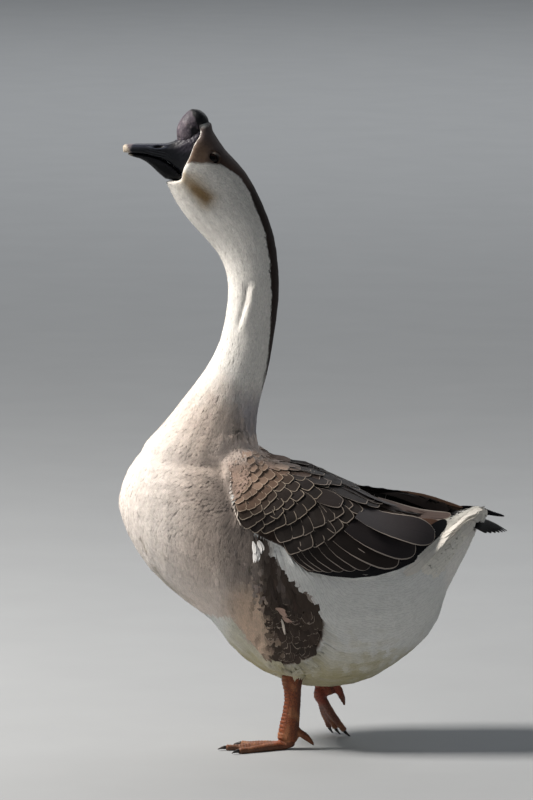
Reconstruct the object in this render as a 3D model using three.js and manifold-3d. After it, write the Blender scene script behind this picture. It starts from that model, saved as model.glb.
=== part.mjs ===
// A domestic Chinese goose, a gander, standing with its neck stretched up and its right foot
// just lifted onto the tips of the toes.
// Millimetres. The floor is z = 0, the bird looks along -Y and its left side is +X. The lengths
// below run from a point under the legs; the whole bird is then moved so that its middle, half
// way from breast to tail tips, stands over the origin.
import * as THREE from 'three';
import { mergeVertices } from 'three/addons/utils/BufferGeometryUtils.js';
import Module from 'manifold-3d';

const wasm = await Module();
wasm.setup();

// ---------------------------------------------------------------------------------------------
// Driving dimensions
// ---------------------------------------------------------------------------------------------

const MIDDLE = 27.5;        // half way from breast to tail tips, behind the point under the legs
const GAP = 0.3;            // clearance between pieces parted by a cut
const FAR = 900;            // reach of the cutting blocks, well past the bird

// Trunk sections from the breast back to the tips of the tail coverts: place along the body,
// top and bottom outline, half width, and the height at which the section is widest.
const TRUNK = [
  { y: -206, top: 297.5, bottom: 287.5, wide: 14, broad: 292.5 },
  { y: -200, top: 320.5, bottom: 266.5, wide: 33, broad: 293.5 },
  { y: -189, top: 341.5, bottom: 242.5, wide: 50, broad: 291.5 },
  { y: -170, top: 358.5, bottom: 213.5, wide: 66, broad: 287.5 },
  { y: -144, top: 363.5, bottom: 187.5, wide: 80, broad: 277.5 },
  { y: -116, top: 365.5, bottom: 165.5, wide: 88, broad: 265.5 },
  { y: -97, top: 363.5, bottom: 152.5, wide: 91, broad: 255.5 },
  { y: -83, top: 359.5, bottom: 134.5, wide: 93, broad: 246.5 },
  { y: -66, top: 354.5, bottom: 112.5, wide: 94, broad: 236.5 },
  { y: -40, top: 347.5, bottom: 91.5, wide: 95, broad: 225.5 },
  { y: -8, top: 341.5, bottom: 76.5, wide: 95, broad: 216.5 },
  { y: 28, top: 331.5, bottom: 67.5, wide: 95, broad: 209.5 },
  { y: 66, top: 318, bottom: 69.5, wide: 93, broad: 205.5 },
  { y: 98, top: 299.5, bottom: 78.5, wide: 89, broad: 204.5 },
  { y: 130, top: 287, bottom: 98.5, wide: 81, broad: 207.5 },
  { y: 158, top: 279.5, bottom: 121.5, wide: 69, broad: 214.5 },
  { y: 177, top: 275.5, bottom: 146.5, wide: 58, broad: 225.5 },
  { y: 190, top: 276.5, bottom: 187.5, wide: 48, broad: 239.5 },
  { y: 206, top: 282.5, bottom: 217.5, wide: 36, broad: 255.5 },
  { y: 221, top: 288.5, bottom: 248.5, wide: 24, broad: 272.5 },
  { y: 233, top: 293.5, bottom: 279.5, wide: 10, broad: 288.5 },
];
const TRUNK_RINGS = 26;
const TRUNK_SIDES = 24;
const TRUNK_SQUARENESS = 2.25;      // 2 is an ellipse

// Neck and head sections, each a chord from the front or throat to the back or nape of the
// neck, [y, z] at both ends, with the half width across.
const NECK = [
  { front: [-152, 299.5], back: [-22, 303.5], wide: 60 },
  { front: [-183, 344.5], back: [-33, 347.5], wide: 60 },
  { front: [-157, 378.5], back: [-40, 377.5], wide: 52 },
  { front: [-129, 417.5], back: [-36, 413.5], wide: 42 },
  { front: [-103, 451.5], back: [-27, 447.5], wide: 35.5 },
  { front: [-84, 488.5], back: [-20, 484.5], wide: 31 },
  { front: [-75, 535.5], back: [-13, 537.5], wide: 28.5 },
  { front: [-76, 566.5], back: [-13.5, 576], wide: 28 },
  { front: [-86, 592], back: [-19, 615], wide: 27.5 },
  { front: [-104.5, 614], back: [-34, 656], wide: 27.5 },
  { front: [-122.5, 634], back: [-53, 691], wide: 28 },
  { front: [-137, 655.5], back: [-76.5, 717], wide: 28 },
  { front: [-145, 671.5], back: [-88, 734], wide: 26.5 },
  { front: [-149, 681.5], back: [-97, 747], wide: 23 },
  { front: [-148, 693.5], back: [-108, 748], wide: 17 },
];
const NECK_RINGS = 28;
const NECK_SIDES = 20;
const NECK_SQUARENESS = 2.15;

// Cuts across the neck: a point on the cut in the mid plane, and the way the neck runs there.
const NECK_CUTS = [
  { at: [-95, 380.5], along: [0.09, 1] },
  { at: [-52, 485.5], along: [0.03, 1] },
  { at: [-46, 580.5], along: [-0.22, 1] },
  { at: [-84, 644.5], along: [-0.63, 0.78] },
];

// Edge of the feathering round the base of the bill, seen from the side, top to chin.
const FEATHER_EDGE = [
  [-92, 752.5], [-110, 747.5], [-106, 736.5], [-114, 725.5],
  [-120, 709.5], [-127, 696.5], [-130, 681.5], [-150, 679.5],
];

// Upper mandible sections from the tip back, with the tomium, the cutting edge, as bottom.
const UPPER_BILL = [
  { y: -199.5, top: 721.5, bottom: 716.5, wide: 3, broad: 718.5 },
  { y: -198, top: 724.5, bottom: 714.1, wide: 7, broad: 717 },
  { y: -191, top: 725.9, bottom: 713.9, wide: 10, broad: 717 },
  { y: -178, top: 726.1, bottom: 713.1, wide: 11.5, broad: 716.5 },
  { y: -162, top: 726.1, bottom: 709.5, wide: 12.6, broad: 713.5 },
  { y: -148, top: 726.5, bottom: 704.5, wide: 13.6, broad: 709.5 },
  { y: -138, top: 728.5, bottom: 696.5, wide: 14.6, broad: 706.5 },
  { y: -130, top: 733.5, bottom: 687.5, wide: 15.6, broad: 705.5 },
  { y: -118, top: 741.5, bottom: 683.5, wide: 18, broad: 707.5 },
  { y: -100, top: 747.5, bottom: 683.5, wide: 20, broad: 709.5 },
];
// Lower mandible sections from the tip back, a little inside the upper one.
const LOWER_BILL = [
  { y: -193.5, top: 713.5, bottom: 711.9, wide: 3.5, broad: 712.9 },
  { y: -189, top: 713.4, bottom: 709.5, wide: 7.6, broad: 712.3 },
  { y: -176, top: 712.3, bottom: 705.5, wide: 9.8, broad: 710.9 },
  { y: -164, top: 709.5, bottom: 696.5, wide: 11.2, broad: 707.5 },
  { y: -150, top: 704.7, bottom: 683.1, wide: 12.6, broad: 700.5 },
  { y: -138, top: 696.1, bottom: 680.9, wide: 13.4, broad: 692.5 },
  { y: -131, top: 688.1, bottom: 680.9, wide: 14, broad: 686.1 },
  { y: -120, top: 683.9, bottom: 680.9, wide: 14, broad: 683 },
];
const BILL_SIDES = 12;
const BILL_RINGS = 12;
const BILL_SQUARENESS = 2.5;

// The knob over the bill's base, as chords from front to back, like the neck's.
const KNOB = [
  { front: [-133, 719.5], back: [-104, 717.5], wide: 10.5 },
  { front: [-135, 732.5], back: [-104, 731.5], wide: 12 },
  { front: [-135, 743.5], back: [-101, 741.5], wide: 12.6 },
  { front: [-130, 754], back: [-96, 750.5], wide: 12.4 },
  { front: [-123, 762], back: [-98, 757.5], wide: 10 },
  { front: [-117, 766], back: [-106, 764], wide: 5 },
];
const KNOB_RINGS = 8;
const KNOB_SIDES = 12;
const KNOB_SQUARENESS = 2;

const EYE_RADIUS = 8;
const EYE_SIDES = 12;
const EYE_CENTRE = [15.8, -91.5, 708.5];

// Folded wing: its lower edge along the side of the body, y against z, and its shell.
const WING_LOWER_EDGE = [
  [-79, 341.5], [-70, 310], [-60, 278], [-36, 262], [-11, 250], [4, 232], [20, 219.5], [60, 216.5],
  [100, 217.5], [124, 226], [150, 241], [172, 258], [196, 278],
];
const WING_INBOARD = 13;            // distance kept from the middle of the back
const WING_THICK = 8.5;             // at the middle of the wing
const WING_EDGE_THICK = 3;          // at its edges
const WING_FULLNESS = 0.7;          // how soon its thickness comes in from an edge
const WING_ENDS = [0.15, 0.95];     // where along its half wave of thickness it starts and ends
const RIGHT_WING_LIFT = 19;         // the right wing is held higher toward its tip
const LIFT_SPAN = [85, 215];        // where along the body it is
const LIFT_FULLNESS = 0.6;          // how soon it comes in from both ends

// Primary tips, the ends of the flight feathers past the folded wing: centre line and depth.
const PRIMARIES = {
  left: [
    { at: [40, 180, 264], deep: 5, wide: 2 },
    { at: [30, 202, 276], deep: 6, wide: 2 },
    { at: [22, 220, 281], deep: 4.5, wide: 1.6 },
    { at: [17, 233, 283], deep: 1.2, wide: 0.8 },
  ],
  right: [
    { at: [-46, 180, 273], deep: 5, wide: 2 },
    { at: [-39, 206, 282], deep: 6.5, wide: 2 },
    { at: [-32, 233, 282], deep: 5.5, wide: 1.8 },
    { at: [-26, 258, 274], deep: 1.4, wide: 0.8 },
  ],
};
const PRIMARY_RINGS = 6;
const BLADE_SIDES = 8;

// Tail fan sections: place, mid height, half width, half thickness, and droop of its edges.
const TAIL = [
  { y: 206, z: 268, wide: 20, thick: 5, droop: 2 },
  { y: 222, z: 268.5, wide: 33, thick: 4.5, droop: 3 },
  { y: 242, z: 266, wide: 43, thick: 3, droop: 4 },
  { y: 256, z: 262.5, wide: 40, thick: 1.8, droop: 4 },
  { y: 261, z: 261, wide: 26, thick: 0.9, droop: 4 },
];
const TAIL_RINGS = 7;
const TAIL_SIDES = 14;

// Legs. The left foot stands flat; the right one hangs down and back onto its toe tips.
const LEG_APART = 50;               // each leg's distance from the mid plane
const SHANK = {
  left: [
    { at: [LEG_APART, -3, 12], deep: 13, wide: 9.5 },
    { at: [LEG_APART, 0, 33], deep: 12, wide: 8.5 },
    { at: [LEG_APART, 3, 55], deep: 10.2, wide: 7.5 },
    { at: [LEG_APART, 3, 72], deep: 10.8, wide: 8 },
    { at: [LEG_APART, 2.5, 87], deep: 13.5, wide: 10 },
    { at: [LEG_APART - 1, 6, 103], deep: 12.5, wide: 9.5 },
    { at: [LEG_APART - 2, 10, 116], deep: 9, wide: 8 },
  ],
  right: [
    { at: [-LEG_APART, 44, 49], deep: 12.5, wide: 9.5 },
    { at: [-LEG_APART, 40, 66], deep: 11, wide: 8 },
    { at: [-LEG_APART, 34, 85], deep: 10.2, wide: 7.5 },
    { at: [-LEG_APART + 1, 29, 102], deep: 10.8, wide: 8 },
    { at: [-LEG_APART + 2, 24, 118], deep: 13.5, wide: 10 },
    { at: [-LEG_APART + 3, 23, 134], deep: 12, wide: 9.5 },
    { at: [-LEG_APART + 3, 24, 146], deep: 9, wide: 8 },
  ],
};
const SHANK_RINGS = 8;
const SHANK_SIDES = 10;

// The small hind toe, which grows from the back of the shank above the foot.
const HIND_TOE = {
  left: [
    { at: [LEG_APART, 1, 25], deep: 4.6, wide: 4.2 },
    { at: [LEG_APART, 14, 19], deep: 5, wide: 4.3 },
    { at: [LEG_APART, 23, 11.5], deep: 3.8, wide: 3.4 },
    { at: [LEG_APART, 29, 5], deep: 1.5, wide: 1.4 },
  ],
  right: [
    { at: [-LEG_APART, 44, 70], deep: 5, wide: 4.5 },
    { at: [-LEG_APART, 56, 61], deep: 6, wide: 5 },
    { at: [-LEG_APART, 63, 48], deep: 4.4, wide: 3.6 },
    { at: [-LEG_APART, 67, 36], deep: 1.6, wide: 1.4 },
  ],
};
const HIND_TOE_RINGS = 4;
const HIND_TOE_SIDES = 6;

// Toes from inner to outer: length without the claw, and turn out from straight ahead.
const TOES = [
  { name: 'inner', long: 56, turn: -27 },
  { name: 'middle', long: 71, turn: 1 },
  { name: 'outer', long: 64, turn: 25 },
];
const TOE_RADIUS = 6.2;             // at the ball of the foot
const TOE_TIP_RADIUS = 3.9;
const TOE_HEIGHT = 1.75;            // of its radius
const TOE_SOLE = 1.6;               // how far the flat sole spreads, 1 is a line
const TOE_SIDES = 8;
const TOE_RINGS = 5;
const KNUCKLES = 3;                 // swellings along a toe
const KNUCKLE_SWELL = 0.07;
const WEB_RINGS = 5;
const WEB_STEPS = 3;
const WEB_THICK = 2.2;
const WEB_CLEAR = 1.2;              // the web clears the floor by this
const WEB_REACH = 0.93;             // of the toe's length, at the toe
const WEB_SCALLOP = 0.8;            // of that, midway between two toes
const WEB_ROOT = 0.08;              // where the web starts, of its reach
const CLAW_LONG = 10;
const CLAW_RADIUS = 2.7;
const CLAW_TAPER = 0.72;            // of the radius lost by its tip
const CLAW_NARROW = 0.8;            // of the radius, across
const CLAW_HEIGHT = 3.8;            // its middle above the sole at its root
const CLAW_DIP = 2.2;               // its tip is lower by this
const CLAW_TOUCH = 0.86;            // of its length, where a hanging claw meets the floor
const CLAW_RINGS = 3;
const CLAW_SIDES = 6;
const ANKLE = { at: [0, 2, 7], radii: [8.8, 11, 6.6] };
const ANKLE_SIDES = 8;
const FOOT_TURN_OUT = 6;            // degrees that each foot points outward
const LEFT_BALL = [LEG_APART, -6, 0];
const RIGHT_BALL = [-LEG_APART, 42, 48];
const RIGHT_TOE_SLOPE = 74;         // degrees the hanging toes point below level
const RIGHT_ROLL = 38;              // degrees the lifted foot's back turns to the body's middle
const RIGHT_SPREAD = 0.68;          // its web is half closed
const RIGHT_CURL = 7;               // its toes bend back this far at their tips

// Thighs: a feathered lobe on each side of the belly.
const THIGH = {
  left: { at: [53, 4, 150], radii: [38, 58, 66] },
  right: { at: [-53, 16, 150], radii: [38, 58, 66] },
};
const THIGH_SIDES = 12;

// ---------------------------------------------------------------------------------------------
// Shapes
// ---------------------------------------------------------------------------------------------

// Catmull-Rom value between stations: u runs from 0 at the first to 1 at the last.
function between(values, u) {
  const spans = values.length - 1;
  const span = Math.min(Math.floor(u * spans), spans - 1);
  const t = u * spans - span;
  const p1 = values[span];
  const p2 = values[span + 1];
  const p0 = span > 0 ? values[span - 1] : 2 * p1 - p2;
  const p3 = span < spans - 1 ? values[span + 2] : 2 * p2 - p1;
  const slope1 = (p2 - p0) / 2;
  const slope2 = (p3 - p1) / 2;
  const t2 = t * t;
  const t3 = t2 * t;
  return p1 * (2 * t3 - 3 * t2 + 1) + slope1 * (t3 - 2 * t2 + t)
    + p2 * (3 * t2 - 2 * t3) + slope2 * (t3 - t2);
}

// A station made of smoothly blended fields, at u along a list of stations.
function stationAt(stations, u) {
  const station = {};
  for (const field of Object.keys(stations[0])) {
    const sample = stations[0][field];
    station[field] = Array.isArray(sample)
      ? sample.map((_, i) => between(stations.map((s) => s[field][i]), u))
      : between(stations.map((s) => s[field]), u);
  }
  return station;
}

// Straight-line value of y against z pairs, held at the ends.
function pairsAt(pairs, y) {
  const last = pairs.length - 1;
  if (y <= pairs[0][0]) return pairs[0][1];
  if (y >= pairs[last][0]) return pairs[last][1];
  const i = pairs.findIndex(([place]) => place > y) - 1;
  const t = (y - pairs[i][0]) / (pairs[i + 1][0] - pairs[i][0]);
  return THREE.MathUtils.lerp(pairs[i][1], pairs[i + 1][1], t);
}

// Rounded power: keeps the sign, and n = 2 draws an ellipse.
function rounded(value, n) {
  return Math.sign(value) * Math.abs(value) ** (2 / n);
}

// A closed mesh through rings of equal length, capped by a fan at both ends.
function loft(rings) {
  const sides = rings[0].length;
  const points = rings.flat();
  const index = [];
  for (let r = 0; r < rings.length - 1; r += 1) {
    for (let s = 0; s < sides; s += 1) {
      const a = r * sides + s;
      const b = r * sides + ((s + 1) % sides);
      index.push(a, b, b + sides, a, b + sides, a + sides);
    }
  }
  for (const [ring, flip] of [[0, true], [rings.length - 1, false]]) {
    const centre = points.length;
    const middle = new THREE.Vector3();
    rings[ring].forEach((p) => middle.addScaledVector(p, 1 / sides));
    points.push(middle);
    for (let s = 0; s < sides; s += 1) {
      const a = ring * sides + s;
      const b = ring * sides + ((s + 1) % sides);
      index.push(...(flip ? [centre, b, a] : [centre, a, b]));
    }
  }
  const geometry = new THREE.BufferGeometry().setFromPoints(points);
  geometry.setIndex(index);
  return facingOut(geometry);
}

// Six times the volume that a closed mesh encloses, negative when its faces point inward.
function signedVolume(geometry) {
  const position = geometry.attributes.position;
  const corner = [new THREE.Vector3(), new THREE.Vector3(), new THREE.Vector3()];
  let sum = 0;
  for (let i = 0; i < geometry.index.count; i += 3) {
    corner.forEach((c, k) => c.fromBufferAttribute(position, geometry.index.getX(i + k)));
    sum += corner[0].dot(corner[1].cross(corner[2]));
  }
  return sum;
}

function facingOut(geometry) {
  if (signedVolume(geometry) > 0) return geometry;
  const index = Array.from(geometry.index.array);
  for (let i = 0; i < index.length; i += 3) {
    [index[i + 1], index[i + 2]] = [index[i + 2], index[i + 1]];
  }
  geometry.setIndex(index);
  return geometry;
}

// Angles round a section, from its left side over the top.
function angles(sides) {
  return Array.from({ length: sides }, (_, s) => (s / sides) * Math.PI * 2);
}

// A point of an upright section at an angle, standing out from it by some distance.
function sectionPoint(station, angle, squareness, out = 0) {
  const up = rounded(Math.sin(angle), squareness);
  const rise = up > 0 ? station.top - station.broad : station.broad - station.bottom;
  return new THREE.Vector3(
    (station.wide + out) * rounded(Math.cos(angle), squareness),
    station.y,
    station.broad + (rise + out) * up,
  );
}

// A body of upright sections, given along the Y axis.
function uprightLoft(stations, ringCount, sides, squareness, out = 0) {
  const rings = [];
  for (let r = 0; r <= ringCount; r += 1) {
    const station = stationAt(stations, r / ringCount);
    rings.push(angles(sides).map((a) => sectionPoint(station, a, squareness, out)));
  }
  return loft(rings);
}

// A body of leaning sections, each a chord in the mid plane with a half width.
function chordLoft(stations, ringCount, sides, squareness, out = 0) {
  const rings = [];
  for (let r = 0; r <= ringCount; r += 1) {
    const { front, back, wide } = stationAt(stations, r / ringCount);
    rings.push(angles(sides).map((a) => {
      const stretch = 1 + (2 * out) / Math.hypot(back[0] - front[0], back[1] - front[1]);
      const along = 0.5 + 0.5 * stretch * rounded(Math.sin(a), squareness);
      return new THREE.Vector3(
        (wide + out) * rounded(Math.cos(a), squareness),
        THREE.MathUtils.lerp(front[0], back[0], along),
        THREE.MathUtils.lerp(front[1], back[1], along),
      );
    }));
  }
  return loft(rings);
}

// A limb or blade along a centre line, oval in section: deep fore and aft, wide across.
function limbLoft(stations, ringCount, sides) {
  const line = new THREE.CatmullRomCurve3(stations.map((s) => new THREE.Vector3(...s.at)));
  const across = new THREE.Vector3(1, 0, 0);
  const rings = [];
  for (let r = 0; r <= ringCount; r += 1) {
    const u = r / ringCount;
    const station = stationAt(stations, u);
    const tangent = line.getTangent(u);
    const side = across.clone().addScaledVector(tangent, -across.dot(tangent)).normalize();
    const fore = new THREE.Vector3().crossVectors(tangent, side);
    rings.push(angles(sides).map((a) => line.getPoint(u)
      .addScaledVector(side, station.wide * Math.cos(a))
      .addScaledVector(fore, station.deep * Math.sin(a))));
  }
  return loft(rings);
}

// ---------------------------------------------------------------------------------------------
// Joining and cutting
// ---------------------------------------------------------------------------------------------

function solid(geometry) {
  const bare = geometry.clone();
  bare.deleteAttribute('normal');
  bare.deleteAttribute('uv');
  const merged = mergeVertices(bare, 1e-4);
  return new wasm.Manifold(new wasm.Mesh({
    numProp: 3,
    vertProperties: new Float32Array(merged.attributes.position.array),
    triVerts: new Uint32Array(merged.index.array),
  }));
}

function geometryOf(manifold) {
  const mesh = manifold.getMesh();
  const geometry = new THREE.BufferGeometry();
  geometry.setAttribute('position', new THREE.BufferAttribute(mesh.vertProperties, 3));
  geometry.setIndex(new THREE.BufferAttribute(mesh.triVerts, 1));
  return geometry;
}

// A prism across the whole bird with an outline in the mid plane, given as [y, z] points.
function prism(outline, halfWidth) {
  const shape = new THREE.Shape(outline.map(([y, z]) => new THREE.Vector2(y, z)));
  const geometry = new THREE.ExtrudeGeometry(shape, { depth: 2 * halfWidth, bevelEnabled: false });
  geometry.translate(0, 0, -halfWidth);
  geometry.applyMatrix4(new THREE.Matrix4().makeBasis(
    new THREE.Vector3(0, 1, 0),
    new THREE.Vector3(0, 0, 1),
    new THREE.Vector3(1, 0, 0),
  ));
  return solid(geometry);
}

// The block on the far side of a cut, pushed on along the neck by a clearance.
function beyond(cut, clearance) {
  const along = new THREE.Vector3(0, ...cut.along).normalize();
  const block = new THREE.BoxGeometry(FAR, FAR, FAR);
  block.translate(0, 0, FAR / 2 + clearance);
  block.applyQuaternion(new THREE.Quaternion().setFromUnitVectors(new THREE.Vector3(0, 0, 1), along));
  block.translate(0, ...cut.at);
  return solid(block);
}

function ball(centre, radii, sides) {
  const sphere = new THREE.SphereGeometry(1, sides, sides / 2);
  sphere.scale(...radii);
  sphere.translate(...centre);
  return sphere;
}

// ---------------------------------------------------------------------------------------------
// Materials
// ---------------------------------------------------------------------------------------------

function finish(color, roughness) {
  return new THREE.MeshStandardMaterial({ color, roughness, metalness: 0 });
}

const BREAST_FAWN = finish(0xcbb8a6, 0.9);
const NECK_CREAM = finish(0xe6dfd2, 0.9);
const WING_BROWN = finish(0x5c4a3f, 0.8);
const QUILL_BLACK = finish(0x1d1a1c, 0.6);
const BILL_BLACK = finish(0x17161b, 0.35);
const EYE_BROWN = finish(0x1a0d08, 0.1);
const LEG_ORANGE = finish(0xb5603a, 0.6);
const CLAW_HORN = finish(0x2b2422, 0.4);

const goose = new THREE.Group();

function add(name, geometry, material) {
  geometry.translate(0, -MIDDLE, 0);
  const mesh = new THREE.Mesh(geometry, material);
  mesh.name = name;
  goose.add(mesh);
}

// ---------------------------------------------------------------------------------------------
// Legs and feet
// ---------------------------------------------------------------------------------------------

// Limb stations made fuller all round, for the socket that a limb sits in.
function fuller(stations, grow) {
  return stations.map(({ at, deep, wide }) => ({ at, deep: deep + grow, wide: wide + grow }));
}

// A toe in the foot's own frame: it runs along -Y from the ball, its sole flat at z = 0 and
// bending down by the curl at its tip.
function toeGeometry(long, curl) {
  const rings = [];
  for (let r = 0; r <= TOE_RINGS; r += 1) {
    const u = r / TOE_RINGS;
    const swell = 1 + KNUCKLE_SWELL * Math.cos(u * KNUCKLES * 2 * Math.PI);
    const radius = THREE.MathUtils.lerp(TOE_RADIUS, TOE_TIP_RADIUS, u) * swell;
    const middle = (radius * TOE_HEIGHT) / 2;
    rings.push(angles(TOE_SIDES).map((a) => new THREE.Vector3(
      radius * Math.cos(a),
      -long * u,
      Math.max(0, middle + middle * Math.sin(a) * (a > Math.PI ? TOE_SOLE : 1)) - curl * u * u,
    )));
  }
  return loft(rings);
}

// A claw in its toe's frame: a curved cone that grows on from the toe's end.
function clawGeometry(long, curl) {
  const rings = [];
  const bend = (2 * curl) / long;
  for (let r = 0; r <= CLAW_RINGS; r += 1) {
    const u = r / CLAW_RINGS;
    const radius = CLAW_RADIUS * (1 - CLAW_TAPER * u);
    const middle = CLAW_HEIGHT - CLAW_DIP * u * u - curl - bend * CLAW_LONG * u;
    rings.push(angles(CLAW_SIDES).map((a) => new THREE.Vector3(
      radius * CLAW_NARROW * Math.cos(a),
      -long - GAP - CLAW_LONG * u,
      middle + radius * Math.sin(a),
    )));
  }
  return loft(rings);
}

// The web between two toes: a thin sheet whose free edge curves in toward the ball.
function webGeometry(toeA, toeB, curl) {
  const tip = (toe) => new THREE.Vector2(Math.sin(toe.angle), -Math.cos(toe.angle))
    .multiplyScalar(toe.long * WEB_REACH);
  const rings = [];
  for (let r = 0; r <= WEB_RINGS; r += 1) {
    const across = r / WEB_RINGS;
    const sag = 1 - (1 - WEB_SCALLOP) * Math.sin(Math.PI * across);
    const edge = tip(toeA).lerp(tip(toeB), across).multiplyScalar(sag);
    const ring = [];
    for (const side of [WEB_CLEAR, WEB_CLEAR + WEB_THICK]) {
      for (let i = 0; i <= WEB_STEPS; i += 1) {
        const u = (side === WEB_CLEAR ? i : WEB_STEPS - i) / WEB_STEPS;
        const reach = WEB_ROOT + (1 - WEB_ROOT) * u;
        ring.push(new THREE.Vector3(edge.x * reach, edge.y * reach, side - curl * reach * reach));
      }
    }
    rings.push(ring);
  }
  return loft(rings);
}

// The foot's frame: its toes point along -Y there and its origin is under the ball of the foot.
function footFrame(side) {
  const turnOut = THREE.MathUtils.degToRad(FOOT_TURN_OUT);
  if (side === 'left') {
    return new THREE.Matrix4().makeRotationZ(turnOut).setPosition(...LEFT_BALL);
  }
  const pitch = Math.PI - THREE.MathUtils.degToRad(RIGHT_TOE_SLOPE);
  const roll = THREE.MathUtils.degToRad(RIGHT_ROLL);
  return new THREE.Matrix4().makeRotationX(pitch)
    .multiply(new THREE.Matrix4().makeRotationY(roll))
    .setPosition(...RIGHT_BALL);
}

// How long a toe has to be for its claw to end on the floor: its line, bent by the curl, is
// followed down to z = 0.
function lengthToFloor(turned, curl) {
  const start = new THREE.Vector3(0, 0, -curl).applyMatrix4(turned);
  const ahead = new THREE.Vector3(0, -1, -curl).applyMatrix4(turned);
  return start.z / (start.z - ahead.z) - CLAW_LONG * CLAW_TOUCH;
}

const floorBlock = solid(new THREE.BoxGeometry(FAR, FAR, FAR).translate(0, 0, -FAR / 2));
const shanks = {};
for (const side of ['left', 'right']) {
  const lifted = side === 'right';
  const curl = lifted ? RIGHT_CURL : 0;
  const frame = footFrame(side);
  const toes = TOES.map((toe) => {
    const angle = THREE.MathUtils.degToRad(toe.turn * (lifted ? -RIGHT_SPREAD : 1));
    const turn = new THREE.Matrix4().makeRotationZ(angle);
    const long = lifted ? lengthToFloor(frame.clone().multiply(turn), curl) : toe.long;
    return { name: toe.name, angle, turn, long };
  });
  let foot = solid(ball(ANKLE.at, ANKLE.radii, ANKLE_SIDES));
  for (const toe of toes) {
    foot = foot.add(solid(toeGeometry(toe.long, curl).applyMatrix4(toe.turn)));
    const claw = clawGeometry(toe.long, curl).applyMatrix4(toe.turn).applyMatrix4(frame);
    add(`claw_${toe.name}_${side}`, geometryOf(solid(claw).subtract(floorBlock)), CLAW_HORN);
  }
  foot = foot.add(solid(webGeometry(toes[0], toes[1], curl)));
  foot = foot.add(solid(webGeometry(toes[1], toes[2], curl)));
  foot = solid(geometryOf(foot).applyMatrix4(frame)).subtract(floorBlock);
  const socket = solid(limbLoft(fuller(SHANK[side], GAP), SHANK_RINGS, SHANK_SIDES));
  const hindSocket = solid(limbLoft(fuller(HIND_TOE[side], GAP), HIND_TOE_RINGS, HIND_TOE_SIDES));
  add(`foot_${side}`, geometryOf(foot.subtract(socket).subtract(hindSocket)), LEG_ORANGE);
  const shank = solid(limbLoft(SHANK[side], SHANK_RINGS, SHANK_SIDES))
    .add(solid(limbLoft(HIND_TOE[side], HIND_TOE_RINGS, HIND_TOE_SIDES)));
  add(`shank_${side}`, geometryOf(shank), LEG_ORANGE);
  shanks[side] = socket;
}

// ---------------------------------------------------------------------------------------------
// Folded wings, primary tips and tail
// ---------------------------------------------------------------------------------------------

// How far the folded wing stands out from the body at a point of its side: full in the middle
// of the wing, thin at its edges.
function wingThickness(station, z) {
  const low = pairsAt(WING_LOWER_EDGE, station.y);
  const across = THREE.MathUtils.clamp((z - low) / (station.top - low), 0, 1);
  const reach = [WING_LOWER_EDGE[0][0], WING_LOWER_EDGE.at(-1)[0]];
  const along = THREE.MathUtils.mapLinear(station.y, ...reach, ...WING_ENDS);
  const ends = Math.sin(Math.PI * THREE.MathUtils.clamp(along, 0, 1));
  const full = (Math.sin(Math.PI * across) * ends) ** WING_FULLNESS;
  return THREE.MathUtils.lerp(WING_EDGE_THICK, WING_THICK, full);
}

// The trunk with both wings' thickness over it, its back raised where a wing is held up.
function wingedTrunk(lift) {
  const rings = [];
  for (let r = 0; r <= TRUNK_RINGS; r += 1) {
    const station = stationAt(TRUNK, r / TRUNK_RINGS);
    const held = THREE.MathUtils.clamp(THREE.MathUtils.inverseLerp(...LIFT_SPAN, station.y), 0, 1);
    const raise = lift * Math.sin(Math.PI * held) ** LIFT_FULLNESS;
    rings.push(angles(TRUNK_SIDES).map((a) => {
      const { z } = sectionPoint(station, a, TRUNK_SQUARENESS);
      const point = sectionPoint(station, a, TRUNK_SQUARENESS, GAP + wingThickness(station, z));
      point.z += raise * THREE.MathUtils.smoothstep(z, station.broad, station.top);
      return point;
    }));
  }
  return loft(rings);
}

// A folded wing: the layer over one side of the trunk, inside the wing's outline.
function foldedWing(side) {
  const first = WING_LOWER_EDGE[0];
  const last = WING_LOWER_EDGE.at(-1);
  const outline = prism([...WING_LOWER_EDGE, [last[0], FAR / 2], [first[0], FAR / 2]], FAR / 2);
  const half = new THREE.BoxGeometry(FAR, FAR, FAR);
  half.translate((side === 'left' ? 1 : -1) * (FAR / 2 + WING_INBOARD), 0, 0);
  return solid(wingedTrunk(side === 'right' ? RIGHT_WING_LIFT : 0))
    .intersect(outline)
    .intersect(solid(half))
    .subtract(solid(uprightLoft(TRUNK, TRUNK_RINGS, TRUNK_SIDES, TRUNK_SQUARENESS, GAP)))
    .subtract(neckRoom);
}

// The fan of tail feathers, arched across, its edges a little lower than its middle.
function tailGeometry(grow) {
  const rings = [];
  for (let r = 0; r <= TAIL_RINGS; r += 1) {
    const { y, z, wide, thick, droop } = stationAt(TAIL, r / TAIL_RINGS);
    rings.push(angles(TAIL_SIDES).map((a) => new THREE.Vector3(
      (wide + grow) * Math.cos(a),
      y,
      z + (thick + grow) * Math.sin(a) - droop * Math.cos(a) ** 2,
    )));
  }
  return loft(rings);
}

// The stacked tips of one wing's primaries, standing on edge.
function primaries(side, grow) {
  return solid(limbLoft(fuller(PRIMARIES[side], grow), PRIMARY_RINGS, BLADE_SIDES));
}

add('tail', geometryOf(solid(tailGeometry(0))), QUILL_BLACK);

// ---------------------------------------------------------------------------------------------
// Flesh: trunk, neck and head as one body, then parted by thin cuts
// ---------------------------------------------------------------------------------------------

// All that lies in front of the feathered edge, moved back by a clearance.
function beakZone(clearance) {
  const edge = FEATHER_EDGE.map(([y, z]) => [y + clearance, z]);
  const ahead = [[edge.at(-1)[0], FAR / 2], [-FAR / 2, FAR / 2], [-FAR / 2, FAR], [edge[0][0], FAR]];
  return prism([...edge, ...ahead], FAR / 2);
}

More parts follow.
